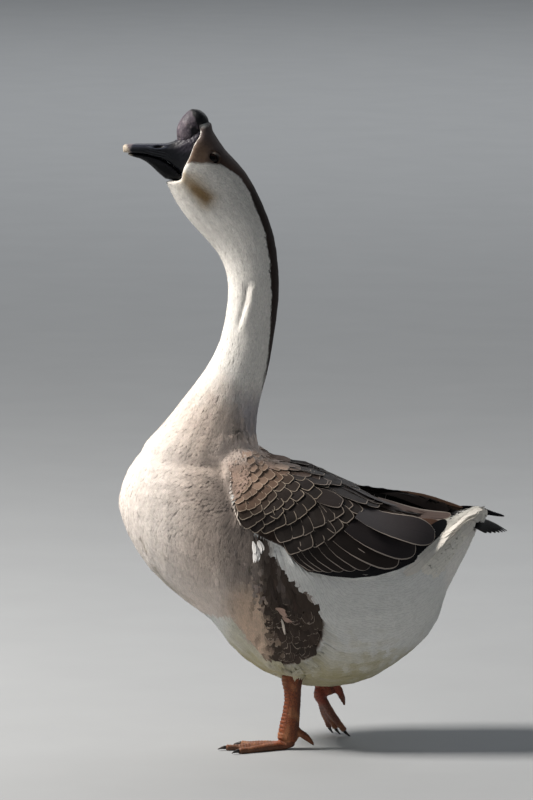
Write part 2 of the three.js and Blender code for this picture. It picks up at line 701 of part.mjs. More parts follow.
// An eyeball on the left side, or on the right one with mirror -1.
function eyeball(mirror, grow) {
  const radius = EYE_RADIUS + grow;
  const [x, y, z] = EYE_CENTRE;
  return solid(ball([x * mirror, y, z], [radius, radius, radius], EYE_SIDES));
}

const neckRoom = solid(chordLoft(NECK, NECK_RINGS, NECK_SIDES, NECK_SQUARENESS, GAP));
const body = solid(uprightLoft(TRUNK, TRUNK_RINGS, TRUNK_SIDES, TRUNK_SQUARENESS))
  .add(solid(chordLoft(NECK, NECK_RINGS, NECK_SIDES, NECK_SQUARENESS)));

let trunk = body.subtract(beyond(NECK_CUTS[0], 0)).subtract(solid(tailGeometry(GAP)));
for (const side of ['left', 'right']) {
  const { at, radii } = THIGH[side];
  const lobe = solid(ball(at, radii, THIGH_SIDES));
  const pocket = solid(ball(at, radii.map((radius) => radius + GAP), THIGH_SIDES));
  const bladeSeat = primaries(side, GAP);
  trunk = trunk.subtract(pocket).subtract(shanks[side]).subtract(bladeSeat);
  add(`thigh_${side}`, geometryOf(lobe.subtract(shanks[side])), BREAST_FAWN);
  add(`primaries_${side}`, geometryOf(primaries(side, 0)), QUILL_BLACK);
  add(`wing_${side}`, geometryOf(foldedWing(side).subtract(bladeSeat)), WING_BROWN);
}
add('trunk', geometryOf(trunk), BREAST_FAWN);

const lengths = ['neck_lower', 'neck_middle', 'neck_upper', 'head'];
lengths.forEach((name, i) => {
  let piece = body.intersect(beyond(NECK_CUTS[i], GAP));
  if (i < NECK_CUTS.length - 1) piece = piece.subtract(beyond(NECK_CUTS[i + 1], 0));
  if (name === 'head') {
    piece = piece.subtract(beakZone(GAP)).subtract(eyeball(1, GAP)).subtract(eyeball(-1, GAP));
  }
  add(name, geometryOf(piece), NECK_CREAM);
});
add('eye_left', geometryOf(eyeball(1, 0)), EYE_BROWN);
add('eye_right', geometryOf(eyeball(-1, 0)), EYE_BROWN);

// ---------------------------------------------------------------------------------------------
// Bill and knob, in front of the feathered edge
// ---------------------------------------------------------------------------------------------

function knob(out) {
  return solid(chordLoft(KNOB, KNOB_RINGS, KNOB_SIDES, KNOB_SQUARENESS, out));
}

function mandible(stations, out) {
  return solid(uprightLoft(stations, BILL_RINGS, BILL_SIDES, BILL_SQUARENESS, out));
}

const face = beakZone(0);
const upper = mandible(UPPER_BILL, 0).subtract(knob(GAP));
const lower = mandible(LOWER_BILL, 0).subtract(mandible(UPPER_BILL, GAP));
add('knob', geometryOf(knob(0).intersect(face)), BILL_BLACK);
add('bill_upper', geometryOf(upper.intersect(face)), BILL_BLACK);
add('bill_lower', geometryOf(lower.intersect(face)), BILL_BLACK);

export default goose;
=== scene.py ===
import math

import bmesh
import bpy
import numpy as np
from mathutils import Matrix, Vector
from mathutils.bvhtree import BVHTree


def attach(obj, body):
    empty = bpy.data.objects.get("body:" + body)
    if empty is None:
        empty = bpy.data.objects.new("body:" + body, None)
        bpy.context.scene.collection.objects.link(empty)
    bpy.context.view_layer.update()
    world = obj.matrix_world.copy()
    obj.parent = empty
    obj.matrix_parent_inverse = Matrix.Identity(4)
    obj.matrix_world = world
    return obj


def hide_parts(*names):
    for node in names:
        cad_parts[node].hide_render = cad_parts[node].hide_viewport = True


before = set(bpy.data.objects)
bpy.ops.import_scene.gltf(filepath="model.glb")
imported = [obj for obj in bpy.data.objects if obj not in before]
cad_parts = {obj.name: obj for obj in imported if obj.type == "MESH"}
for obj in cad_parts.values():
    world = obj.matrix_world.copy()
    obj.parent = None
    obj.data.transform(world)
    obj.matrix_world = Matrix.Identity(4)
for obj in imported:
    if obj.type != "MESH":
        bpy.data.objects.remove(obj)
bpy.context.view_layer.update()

# ---- studio
# The bird stands on a plain pale floor, under one large soft lamp high in front of it and an even
# pale sky. A weak lamp and a wide one over the floor behind fill the shade.

LOOK_AT = Vector((0, -0.0555, 0.416))
CAMERA_FAR = 8.0
CAMERA_RISE = math.radians(7)
SENSOR = 36
LENS = 300
FAR_CLIP = 50
LIT_SPOT = (0, 0, 0.35)             # the middle of the bird, which the lamps point at
SKY_COLOUR = (0.84, 0.92, 1, 1)
SKY_STRENGTH = 0.13
FLOOR_HALF = 30.0

scene = bpy.context.scene
scene.view_settings.view_transform = "Standard"


def aimed(made, place, target):
    """Puts a camera or lamp at a place, looking at a target."""
    made.location = place
    made.rotation_euler = (Vector(target) - Vector(place)).to_track_quat("-Z", "Y").to_euler()
    scene.collection.objects.link(made)
    return made


camera_data = bpy.data.cameras.new("camera")
camera_data.lens = LENS
camera_data.sensor_width = SENSOR
camera_data.clip_end = FAR_CLIP
away = Vector((math.cos(CAMERA_RISE), 0, math.sin(CAMERA_RISE))) * CAMERA_FAR
scene.camera = aimed(bpy.data.objects.new("camera", camera_data), LOOK_AT + away, LOOK_AT)


def lamp(name, place, size, watts, colour=(1, 1, 1)):
    """A soft square lamp that shines on the middle of the bird."""
    data = bpy.data.lights.new(name, "AREA")
    data.size = size
    data.energy = watts
    data.color = colour
    return aimed(bpy.data.objects.new(name, data), place, LIT_SPOT)


lamp("key", (0.08, -2.5, 2.85), 0.8, 225, (1, 0.955, 0.9))
lamp("rim", (-1.8, 1.4, 2.0), 1.2, 10, (0.9, 0.95, 1))
lamp("backdrop", (-9.5, 0, 6), 8, 420).rotation_euler = (0, 0, 0)

world = bpy.data.worlds.new("sky")
world.use_nodes = True
sky = world.node_tree.nodes["Background"].inputs
sky["Color"].default_value = SKY_COLOUR
sky["Strength"].default_value = SKY_STRENGTH
scene.world = world


class Tone:
    """A socket of a material's nodes. Sums, differences and products of tones add Math nodes."""

    def __init__(self, tree, socket=None):
        self.tree = tree
        self.socket = socket

    def node(self, kind, settings=None, links=None, out=0):
        """Any node: its settings first, then the values or tones of its sockets."""
        made = self.tree.nodes.new("ShaderNode" + kind)
        for name, value in (settings or {}).items():
            if name == "stops":
                for stop, (place, colour) in zip(made.color_ramp.elements, value):
                    stop.position = place
                    stop.color = (*colour, 1)
            else:
                setattr(made, name, value)
        for name, value in (links or {}).items():
            if isinstance(value, Tone):
                self.tree.links.new(value.socket, made.inputs[name])
            else:
                made.inputs[name].default_value = value
        return Tone(self.tree, made.outputs[out])

    def maths(self, operation, *values):
        return self.node("Math", {"operation": operation}, dict(enumerate(values)))

    def __add__(self, other):
        return self.maths("ADD", self, other)

    def __sub__(self, other):
        return self.maths("SUBTRACT", self, other)

    def __mul__(self, other):
        return self.maths("MULTIPLY", self, other)

    def wave(self):
        """From 0 to 1 and back, once for each whole number."""
        return self.maths("SINE", self * (2 * math.pi)) * 0.5 + 0.5

    def size(self):
        return self.maths("ABSOLUTE", self)

    def step(self, low, high):
        """A soft step from 0 at low to 1 at high."""
        settings = {"interpolation_type": "SMOOTHSTEP"}
        return self.node("MapRange", settings, {"Value": self, "From Min": low, "From Max": high})

    def mix(self, start, end):
        """A colour between two, by this tone."""
        return self.node("Mix", {"data_type": "RGBA"}, {0: self, 6: start, 7: end}, 2)

    def times(self, colour):
        """This grey tone times a colour."""
        links = {0: 1.0, 6: colour, 7: self}
        return self.node("Mix", {"data_type": "RGBA", "blend_type": "MULTIPLY"}, links, 2)

    def attribute(self, name, out="Color"):
        return self.node("Attribute", {"attribute_name": name}, out=out)

    def noise(self, place, scale, detail=3.0, rough=0.55):
        links = {"Vector": place, "Scale": scale, "Detail": detail, "Roughness": rough}
        return self.node("TexNoise", links=links)

    def bump(self, strength, depth):
        """The normal of a surface whose height is this tone."""
        links = {"Strength": strength, "Distance": depth, "Height": self}
        return self.node("Bump", links=links)


def finish(name, paint, shine):
    """A material: paint gives the sockets that nodes drive, and shine is its specular level."""
    made = bpy.data.materials.new(name)
    made.use_nodes = True
    shader = made.node_tree.nodes["Principled BSDF"]
    shader.inputs["Specular IOR Level"].default_value = shine
    for key, tone in paint(Tone(made.node_tree)).items():
        made.node_tree.links.new(tone.socket, shader.inputs[key])
    return made


def floor_paint(tone):
    grain = tone.noise(tone.node("TexCoord", out="Object"), 6.0)
    colour = grain.mix((0.34, 0.35, 0.36, 1), (0.37, 0.38, 0.39, 1))
    return {"Base Color": colour, "Roughness": grain * 0.1 + 0.75}


floor_mesh = bpy.data.meshes.new("floor")
corners = [(x * FLOOR_HALF, y * FLOOR_HALF, 0) for x, y in ((-1, -1), (1, -1), (1, 1), (-1, 1))]
floor_mesh.from_pydata(corners, [], [(0, 1, 2, 3)])
floor_mesh.materials.append(finish("floor", floor_paint, 0.0))
floor = bpy.data.objects.new("floor", floor_mesh)
scene.collection.objects.link(floor)

# ---- skin
# The bird's own body under its feathers: trunk, thighs, neck, head and the flesh of the folded
# wings as one surface with no seams. It lies inside the feathers' outline by their depth.

FLESH = (
    "trunk", "thigh_left", "thigh_right", "neck_lower", "neck_middle", "neck_upper", "head",
    "wing_left", "wing_right",
)
MIDDLE = np.array([0, 27.5, 0])     # mm from the point under the legs back to the origin
SKIN_SWELL = 0.4
SKIN_VOXEL = 2.6
SKIN_SMOOTHING = 12
# The edge of the feathers round the bill, and the line of the fold on the neck.
BILL_EDGE = [
    (-92, 752.5), (-110, 747.5), (-106, 736.5), (-114, 725.5),
    (-120, 709.5), (-127, 696.5), (-130, 681.5), (-150, 679.5),
]
FURROW = [(-47, 562), (-50, 551), (-52, 537), (-56, 523), (-61, 505)]
# The far wing's upper outline: no feather on the right side rises above it.
CREST = [
    (-200, 400), (20, 345), (48, 327), (66, 318), (85, 309), (100, 304), (116, 303.5),
    (137, 302.5), (166, 297.5), (187, 290.5), (208, 284), (240, 292), (300, 292),
]
EYE = np.array([15.8, -91.5, 708.5])
EYE_RADIUS = 8


def rgb(code):
    """A linear colour from a hex code."""
    part = np.array([int(code[i:i + 2], 16) for i in (0, 2, 4)]) / 255
    return np.where(part <= 0.04045, part / 12.92, ((part + 0.055) / 1.055) ** 2.4)


def fade(value, low, high):
    """A soft step from 0 at low to 1 at high."""
    t = np.clip((value - low) / (high - low), 0, 1)
    return t * t * (3 - 2 * t)


def unit(v):
    return v / np.maximum(np.linalg.norm(v, axis=-1, keepdims=True), 1e-9)


def joined(nodes, swell):
    """The named CAD solids as one mesh, in mm from the point under the legs."""
    verts, tris, count = [], [], 0
    for name in nodes:
        work = bmesh.new()
        work.from_mesh(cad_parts[name].data)
        bmesh.ops.remove_doubles(work, verts=work.verts, dist=1e-6)
        bmesh.ops.triangulate(work, faces=work.faces)
        work.normal_update()
        place = np.array([v.co for v in work.verts]) * 1000 + MIDDLE
        verts.append(place + swell * np.array([v.normal for v in work.verts]))
        tris.append(np.array([[v.index for v in f.verts] for f in work.faces]) + count)
        count += len(work.verts)
        work.free()
    return np.concatenate(verts), np.concatenate(tris)


def remeshed(verts, tris, voxel):
    """One even surface round a mesh, as places and triangles."""
    mesh = bpy.data.meshes.new("work")
    mesh.from_pydata(verts.tolist(), [], tris.tolist())
    work = bpy.data.objects.new("work", mesh)
    scene.collection.objects.link(work)
    remesh = work.modifiers.new("remesh", "REMESH")
    remesh.mode = "VOXEL"
    remesh.voxel_size = voxel
    made = work.evaluated_get(bpy.context.evaluated_depsgraph_get()).to_mesh()
    made.calc_loop_triangles()
    place = np.empty(len(made.vertices) * 3)
    made.vertices.foreach_get("co", place)
    face = np.empty(len(made.loop_triangles) * 3, int)
    made.loop_triangles.foreach_get("vertices", face)
    bpy.data.objects.remove(work)
    bpy.data.meshes.remove(mesh)
    return largest(place.reshape(-1, 3), face.reshape(-1, 3))


def largest(verts, tris):
    """The biggest connected part of a mesh."""
    label = np.arange(len(verts))
    pairs = np.concatenate([tris[:, :2], tris[:, 1:]])
    while True:
        low = np.minimum(label[pairs[:, 0]], label[pairs[:, 1]])
        new = label.copy()
        np.minimum.at(new, pairs[:, 0], low)
        np.minimum.at(new, pairs[:, 1], low)
        new = new[new]
        if (new == label).all():
            break
        label = new
    keep = label == np.bincount(label).argmax()
    order = np.cumsum(keep) - 1
    return verts[keep], order[tris[keep[tris[:, 0]]]]


def smoothed(verts, tris, rounds, swell=0.53):
    """Places evened out along the surface, and swollen back to keep their size."""
    pairs = np.concatenate([tris[:, :2], tris[:, 1:], tris[:, ::2]])
    count = np.bincount(pairs.ravel(), minlength=len(verts))[:, None]
    for part in (0.5, -swell) * rounds:
        total = np.stack([
            np.bincount(pairs[:, 0], verts[pairs[:, 1], k], len(verts))
            + np.bincount(pairs[:, 1], verts[pairs[:, 0], k], len(verts))
            for k in range(3)
        ], 1)
        verts = verts + part * (total / count - verts)
    return verts


def outward(verts, tris):
    """The smooth outward normal at each point of a mesh."""
    a, b, c = verts[tris].transpose(1, 0, 2)
    face = np.cross(b - a, c - a)
    total = np.stack([
        sum(np.bincount(tris[:, i], face[:, k], len(verts)) for i in range(3)) for k in range(3)
    ], 1)
    return unit(total)


def height_of(path, y):
    """How high a path of the side view runs at places along it."""
    return np.interp(y, *np.array(path).T)


def beside(p, path):
    """How far places lie from a path in the side view, above 0 on its left-hand side."""
    p = p[:, -2:]
    best = np.full(len(p), 1e9)
    signed = np.zeros(len(p))
    path = np.array(path, float)
    for a, b in zip(path, path[1:]):
        run = b - a
        t = np.clip((p - a) @ run / (run @ run), 0, 1)
        off = p - a - t[:, None] * run
        far = np.hypot(*off.T)
        side = np.sign(run[0] * (p[:, 1] - a[1]) - run[1] * (p[:, 0] - a[0]))
        near = far < best - 1e-9
        best = np.where(near, far, best)
        signed = np.where(near, far * side, signed)
    return signed


def within(p, outline):
    """How far places lie inside a closed outline in the side view, below 0 outside it."""
    p = p[:, -2:]
    ring = np.array([*outline, outline[0]], float)
    crossings = np.zeros(len(p), int)
    for (ay, az), (by, bz) in zip(ring, ring[1:]):
        spans = (az > p[:, 1]) != (bz > p[:, 1])
        rise = np.where(spans, bz - az, 1)
        crossings += spans & (p[:, 0] < (by - ay) * (p[:, 1] - az) / rise + ay)
    return np.abs(beside(p, ring)) * np.where(crossings % 2, 1, -1)


def around_eye(p):
    """How far places lie outside the eye of their side."""
    mirrored = np.abs(p) * (1, 0, 0) + p * (0, 1, 1)
    return np.linalg.norm(mirrored - EYE, axis=1) - EYE_RADIUS


def coat_depth(p):
    """How deep the feathers are: thin on the face, deepest on the body."""
    _, y, z = p.T
    depth = 3.4 - 1.5 * fade(z, 340, 470) - 0.9 * fade(z, 600, 680)
    edge = np.abs(beside(p, BILL_EDGE))
    near = np.minimum(np.where(z > 600, edge, 99), around_eye(p))
    return 0.2 + (depth - 0.2) * fade(near, 0, 10)


def furrowed(p):
    """The fold down each side of the neck, where the skin hangs in two soft ridges."""
    along = beside(p, FURROW)
    _, y, z = p.T
    side = fade(np.abs(p[:, 0]), 8, 20) * fade(z, 498, 518) * fade(z, 562, 550)
    groove = np.exp(-((along + 1.5) / 3.5) ** 2)
    ridge = np.exp(-((along - 5) / np.where(along < 5, 3.5, 8)) ** 2)
    return side * (2.3 * ridge - 1.8 * groove)


surface, skin_tris = remeshed(*joined(FLESH, SKIN_SWELL), SKIN_VOXEL)
surface = smoothed(surface, skin_tris, SKIN_SMOOTHING)
skin_normals = outward(surface, skin_tris)
# The crown swells behind the knob, the breast under the neck, and each shoulder in front of its
# wing. Towards the tail the right side stays under the far wing's outline.
x, y, z = surface.T
swell = 2.4 * fade(z, 739, 747) + 2 * fade(z, 743, 749)
swell += 3 * np.exp(-((y + 163) ** 2 + (z - 377) ** 2) / 800)
surface = surface + skin_normals * (furrowed(surface) + swell - SKIN_SWELL)[:, None]
x, y, z = surface.T
shoulder = 20 * np.exp(-((np.abs(x) - 44) / 20) ** 2 - ((y + 51) / 26) ** 2)
over = np.maximum(z + 5 - height_of(CREST, y), 0) * fade(x, 12, 0) * fade(y, 140, 160)
surface[:, 2] += shoulder * fade(z, 325, 350) * fade(z, 385, 362) - over
skin = surface - skin_normals * coat_depth(surface)[:, None]
skin = smoothed(skin, skin_tris, 3)
skin_normals = outward(skin, skin_tris)
skin_tree = BVHTree.FromPolygons(skin.tolist(), skin_tris.tolist())


def settle(points):
    """The nearest places on the skin, and its normals there."""
    found = [skin_tree.find_nearest(point) for point in points.tolist()]
    place = np.array([f[0] for f in found])
    corner = skin_tris[[f[2] for f in found]]
    a, b, c = skin[corner].transpose(1, 0, 2)
    area = np.cross(b - a, c - a)
    whole = np.maximum((area * area).sum(1), 1e-12)
    wb = (np.cross(place - a, c - a) * area).sum(1) / whole
    wc = (np.cross(b - a, place - a) * area).sum(1) / whole
    share = np.stack([1 - wb - wc, wb, wc], 1)
    return place, unit((skin_normals[corner] * share[:, :, None]).sum(1))


# ---- markings
# A brown Chinese goose: dark brown cap and hindneck, white cheeks and foreneck with a rusty stain
# under the bill, a fawn breast, brown flanks, and a white belly and undertail. Some shade and
# highlight are painted into these colours too.

WHITE = rgb("efebe4")
BELLY_WHITE = rgb("e6e6e3")
BELLY_OLIVE = rgb("aca06e")
FAWN = rgb("d4c3b6")
PALE_FAWN = rgb("efe6de")
BREAST_GREY = rgb("7b7069")
FLANK_BROWN = rgb("42362e")
FLANK_FAWN = rgb("dcc0a8")
CAP_BROWN = rgb("5f5350")
FACE_BROWN = rgb("6c5747")
NAPE_BROWN = rgb("281811")
NECK_SHADE = rgb("a0a0ad")
RUST = rgb("80602f")
RUST_EDGE = rgb("a8916a")
EYE_BROWN = rgb("4d382c")
FOLD_SHADOW = rgb("7c7058")
KNOB_BAND = rgb("c0bebb")
WING_FAWN = rgb("bda292")
SHOULDER_LIGHT = rgb("e4d2c6")
WING_DARK = rgb("3b302a")
BACK_BLACK = rgb("1c1613")

# The lower edge of the brown cap, from the bill under the eye to the nape and down the neck.
CAP_EDGE = [
    (-124, 704), (-108, 703), (-96.6, 702.5), (-82, 701), (-67, 691), (-57.6, 683.5),
    (-46.8, 664), (-38.4, 641), (-31, 622), (-24.5, 585), (-23, 540), (-25, 500),
    (-28.5, 464), (-32.8, 440), (-36.6, 416), (-39.4, 392), (-41.2, 367), (-43, 345),
]
# The outline of the fawn breast and brown flank, seen from the side.
FAWN_AREA = [
    (-300, 215), (-168, 213), (-125, 174), (-100, 160), (-84, 158), (-68, 161), (-45.6, 131),
    (-26, 112), (-6, 106), (12, 109), (26, 116), (34, 126), (38.5, 143), (39.6, 161),
    (37, 172), (27, 184), (14, 194), (5, 205), (-3, 215), (-10, 223.5), (-19, 233.5),
    (-29, 242.5), (-41, 251), (-57, 261), (-70, 307.6), (-70, 352), (-10, 362), (0, 600),
    (0, 900), (-300, 900),
]
# The outline of the folded wing.
WING_AREA = [
    (-74, 360), (-74, 341), (-69, 312), (-60, 279), (-36, 263), (-11, 251), (4, 233), (20, 220),
    (60, 216), (100, 217), (124, 225), (150, 240), (172, 257), (200, 281), (232, 294),
    (232, 345), (60, 345), (-8, 356), (-50, 354),
]
# The left-hand edge of the darkest part of the flank.
FLANK_EDGE = [(-52, 272), (-42, 256), (-33, 230), (-30, 202), (-30, 172), (-21, 158), (-19, 98)]
# The upper edge of the white tail coverts.
TUFT_TOP = [(186, 263), (236, 299)]
EYE_STREAK = [(-86, 706), (-72, 698), (-60, 688), (-50, 674)]
RUST_PATH = [(-124, 687), (-112, 674), (-98, 659)]
# Dark lines on the left of the breast, painted shadows of folds in its feathers: their line, width
# and strength.
FOLD_SHADOWS = (
    ([(-158, 217), (-146, 201), (-131, 187)], 3.2, 0.55),
    ([(-175, 252), (-170, 241), (-166, 232)], 1.6, 0.5),
    ([(-122, 183), (-112, 176)], 3.0, 0.35), ([(-150, 235), (-144, 228)], 2.5, 0.25),
)


def ripple(p, size, seed, waves=10):
    """An even random swell from -1 to 1, with features of about a size."""
    draw = np.random.default_rng(seed)
    way = unit(draw.normal(size=(waves, 3))) * draw.uniform(0.6, 1.5, (waves, 1)) / size
    return np.sin(p @ way.T * math.pi + draw.uniform(0, 6.3, waves)).sum(1) / math.sqrt(waves) / 1.4


def markings(p):
    """The coat's colour at places on the bird, with some painted shade and highlight in it."""
    x, y, z = np.abs(p[:, 0]), p[:, 1], p[:, 2]
    blur = ripple(p, 9, 1)
    tone = np.tile(BELLY_WHITE, (len(p), 1))

    def lay(colour, share):
        nonlocal tone
        tone = tone + (colour - tone) * np.clip(share, 0, 1)[:, None]

    # The white belly, darker and more olive towards the bottom and low at the front, the fawn
    # breast and the brown flank.
    lay(BELLY_OLIVE, 0.75 * fade(z + 14 * blur, 145, 78) * fade(y, -85, -60) + 0.08 * fade(z, 260, 150))
    lay(BELLY_OLIVE, 0.4 * fade(y, 0, -30) * fade(z, 190, 160) * fade(y, -85, -60))
    inside = within(p, FAWN_AREA)
    lay(FAWN, fade(inside + 1.5 * blur, -2, 3))
    # The front of the breast is paler as a painted highlight, where it faces the lamp; its lower
    # part is paler in its own colour.
    lay(PALE_FAWN, fade(inside, -2, 3) * (0.85 * fade(y, -98, -170) + 0.35 * fade(z, 240, 180)))
    coloured = fade(inside + 2 * blur, -1, 2)
    # Greyer towards the wing: partly the breast's own grey tinge, partly painted shade.
    grey_and_shade = fade(y + 0.25 * (z - 260) + 5 * blur, -125, -58) * fade(z, 345, 318)
    lay(BREAST_GREY, coloured * grey_and_shade * 0.85)
    lay(FLANK_FAWN, coloured * fade(y, -85, -50) * fade(z, 215, 175) * 0.9)
    streak = ripple(p * (1, 1, 0.12), 5, 2)
    dark = beside(p, FLANK_EDGE)
    lay(FLANK_BROWN, coloured * 0.55 * fade(streak, -0.2, 0.9) * fade(dark, -32, -8)
        * fade(z, 262, 240))
    brown = fade(dark + 3 * blur + 3 * streak, -8, 4) * fade(z, 268, 246)
    lay(FLANK_BROWN, coloured * brown)
    lay(BREAST_GREY, coloured * 0.55 * fade(z, 185, 225) * fade(streak, -0.4, 0.7)
        * fade(y, -85, -62))
    turn, away = np.arctan2(-76 - y, 334 - z), np.hypot(y + 76, z - 334)
    fan = ripple(np.stack([turn * 60, away * 0.12, 0 * x], 1), 3.6, 3)
    lay(BREAST_GREY, coloured * 0.42 * fade(fan, -0.3, 1) * fade(away, 130, 35) * fade(z, 352, 335))
    # The white neck with painted shade low at its back, the wing over fawn shoulders with a painted
    # highlight on their tops, the black back and the white tail coverts.
    lay(WHITE, fade(z - 0.35 * y + 0.9 * np.maximum(y + 85, 0) + 7 * blur, 425, 500))
    # Painted shade: a cool grey low at the back of the neck.
    lay(NECK_SHADE, 0.6 * fade(y + 0.3 * (z - 400) + 4 * blur, -72, -48) * fade(z, 364, 376)
        * fade(z, 440, 395))
    wing = fade(within(p, WING_AREA) - 5 * fade(y, 150, 172), -1.5, 1.5)
    front = fade(y - 0.9 * (z - 330) + 6 * blur, 32, -28)
    lay(WING_DARK, wing)
    lay(WING_FAWN, wing * front)
    # The shoulders' tops are paler: partly their own pale fawn, partly a painted highlight where
    # they face the lamp.
    lay(SHOULDER_LIGHT, wing * front * 0.7 * fade(z - 0.3 * y, 352, 372))
    lay(SHOULDER_LIGHT, 0.8 * fade(y, -102, -80) * fade(y, 20, -20) * fade(z, 340, 350)
        * fade(z, 374, 366))
    lay(BACK_BLACK, fade(y, 55, 80) * fade(x, 36, 28) * fade(z, 255, 262))
    lay(WHITE, fade(y, 182, 192) * fade(beside(p, TUFT_TOP), 2, -2))
    # The brown cap and hindneck, the stain under the bill and the pale line behind the bill.
    cap = beside(p, CAP_EDGE)
    soft = 0.9 + 2 * fade(y, -84, -96) + 1.6 * fade(z, 480, 430)
    capped = fade(cap / soft + 0.5 * blur, -1, 1) * fade(z, 384, 410)
    lay(CAP_BROWN, capped)
    lay(FACE_BROWN, capped * fade(y, -85, -103) * fade(z, 738, 716))
    lay(NAPE_BROWN, capped * fade(z - 0.4 * y, 722, 690))
    lay(EYE_BROWN, capped * 0.8 * np.exp(-(beside(p, EYE_STREAK) / 5.5) ** 2))
    stain = np.abs(np.abs(beside(p, RUST_PATH)) + 2 * blur)
    lay(RUST_EDGE, 0.66 * np.exp(-(stain / 12.5) ** 2) * fade(z, 698, 688))
    lay(RUST, 0.85 * np.exp(-(stain / 7) ** 2) * fade(z, 692, 668))
    # Painted shadow along each fold.
    for path, wide, share in FOLD_SHADOWS:
        off = (beside(p, path) + 1.2 * blur) / wide
        lay(FOLD_SHADOW, share * np.exp(-off ** 2) * fade(p[:, 0], 0, 12))
    lay(WHITE, 0.85 * fade(np.abs(beside(p, BILL_EDGE)), 2.4, 1.0) * fade(z, 676, 684)
        * fade(z, 745, 738))
    lay(KNOB_BAND, fade(np.hypot(y + 103, (z - 749) * 1.3), 10, 6) * fade(z, 738, 744))
    return np.clip(tone, 0, 1)


def put(mesh, name, kind, key, values):
    """Stores a value for each point of a mesh."""
    values = values.astype(np.float32).ravel()
    mesh.attributes.new(name, kind, "POINT").data.foreach_set(key, values)


def make_piece(name, verts, faces, tints, material, nodes=()):
    """A smooth piece of the model from places in mm, with a colour for each point."""
    mesh = bpy.data.meshes.new(name)
    mesh.from_pydata(((verts - MIDDLE) / 1000).tolist(), [], faces.tolist())
    mesh.polygons.foreach_set("use_smooth", [True] * len(mesh.polygons))
    put(mesh, "tint", "FLOAT_COLOR", "color", np.c_[tints, np.ones(len(tints))])
    mesh.materials.append(material)
    made = bpy.data.objects.new(name, mesh)
    scene.collection.objects.link(made)
    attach(made, "root")
    if nodes:
        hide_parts(*nodes)
    return made


def grained(scale, shade, gloss, bump=None, detail=4.0, rough=0.55, speck=None, cracks=None):
    """The paint of down, hide or horn. shade and gloss are how much the grain changes colour
    and roughness, and from what. A finer speck and cracks, with a scale and a share of the
    relief each, are drawn where they are given."""

    def paint(tone):
        place = tone.node("TexCoord", out="Object")
        grain = tone.noise(place, scale, detail, rough)
        colour, relief, left = tone.attribute("tint"), 0, 1
        if cracks:
            size, share, wide, dark = cracks
            crack = tone.node("TexVoronoi", {"feature": "DISTANCE_TO_EDGE"},
                              {"Vector": place, "Scale": size}).step(0.0, wide)
            # The cracks are painted darker, as painted shade in them.
            colour = (crack * dark + (1 - dark)).times(colour)
            relief, left = crack * share, left - share
        if speck:
            size, share = speck
            relief, left = tone.noise(place, size) * share + relief, left - share
        made = {"Base Color": (grain * shade[0] + shade[1]).times(colour),
                "Roughness": grain * gloss[0] + gloss[1]}
        if bump:
            made["Normal"] = (grain * left + relief).bump(*bump)
        return made

    return paint


skin_finish = finish("skin_down", grained(420.0, (0.5, 0.62), (0.2, 0.75), (0.5, 0.0012)), 0.2)
make_piece("skin", skin, skin_tris, markings(surface), skin_finish, FLESH)

# ---- contour feathers
# Small overlapping feathers from the bill to the tail, each a thin curved vane rooted in the
# skin and lying back along the body. They are shortest on the face and longest on the flanks.

# The bird's middle line, from the bill over the crown and down the neck to the tail.
SPINE = [
    (-128, 721), (-107, 700), (-88, 672), (-69, 640), (-52, 603), (-45, 571), (-44, 536),
    (-52, 486), (-65, 449), (-82, 415), (-98, 378), (-108, 346), (-105, 300), (-70, 240),
    (0, 208), (80, 200), (150, 215), (200, 255), (235, 292),
]
# The lie of the coat in the side view: a place, and the way feathers point there.
LIE = np.array([
    (-126, 706, 1, -.15), (-120, 730, .9, .1), (-102, 742, .85, -.25), (-78, 730, .7, -.7),
    (-90, 709, .95, -.3), (-114, 682, .75, -.65), (-132, 670, .55, -.83), (-60, 700, .6, -.8),
    (-84, 676, .75, -.65), (-108, 640, .6, -.8), (-66, 652, .55, -.83), (-38, 640, .4, -.92),
    (-54, 597, .25, -.97), (-48, 549, 0, -1), (-18, 549, 0, -1), (-48, 488, -.15, -1),
    (-22, 488, -.1, -1), (-78, 428, -.45, -.9), (-38, 416, -.1, -1), (-132, 380, -.6, -.8),
    (-90, 367, -.6, -.8), (-30, 350, .8, -.2), (-192, 331, -.3, -.95), (-204, 271, .05, -1),
    (-186, 210, .4, -.9), (-144, 295, -.55, -.83), (-108, 319, -.8, -.6), (-78, 319, -.6, -.8),
    (-90, 259, -.35, -.93), (-144, 222, 0, -1), (-60, 247, -.05, -1), (-84, 186, .15, -.98),
    (-120, 174, .35, -.93), (-36, 174, .25, -.97), (12, 186, .35, -.93), (-12, 114, .35, -.9),
    (-60, 126, .5, -.85), (72, 174, 1, -.2), (60, 77, 1, .05), (132, 126, .95, .3),
    (156, 210, .85, .55), (192, 259, .85, .53), (12, 65, 1, -.1), (12, 319, .95, -.3),
    (72, 319, .9, -.3), (132, 295, 1, -.15), (192, 283, 1, .1),
])
LIE_BLUR = 20                       # mm over which one lie passes into the next
TRIES = 5                           # random places for each one that the gap leaves room for
BAKE_MARGIN = 0.02                  # left free round the baking map
NEIGHBOURS = [(i, j, k) for i in (0, -1, 1) for j in (0, -1, 1) for k in (0, -1, 1)]


def lie(p):
    """The way feathers point at places on the bird."""
    near = 1 / (((p[:, None, 1:] - LIE[None, :, :2]) ** 2).sum(2) + LIE_BLUR ** 2) ** 2
    way = near @ LIE[:, 2:]
    return unit(np.stack([np.zeros(len(p)), *way.T], 1))


def run_of(path):
    """How far along a path each of its points lies."""
    return np.concatenate([[0], np.cumsum(np.linalg.norm(np.diff(path, axis=0), axis=1))])


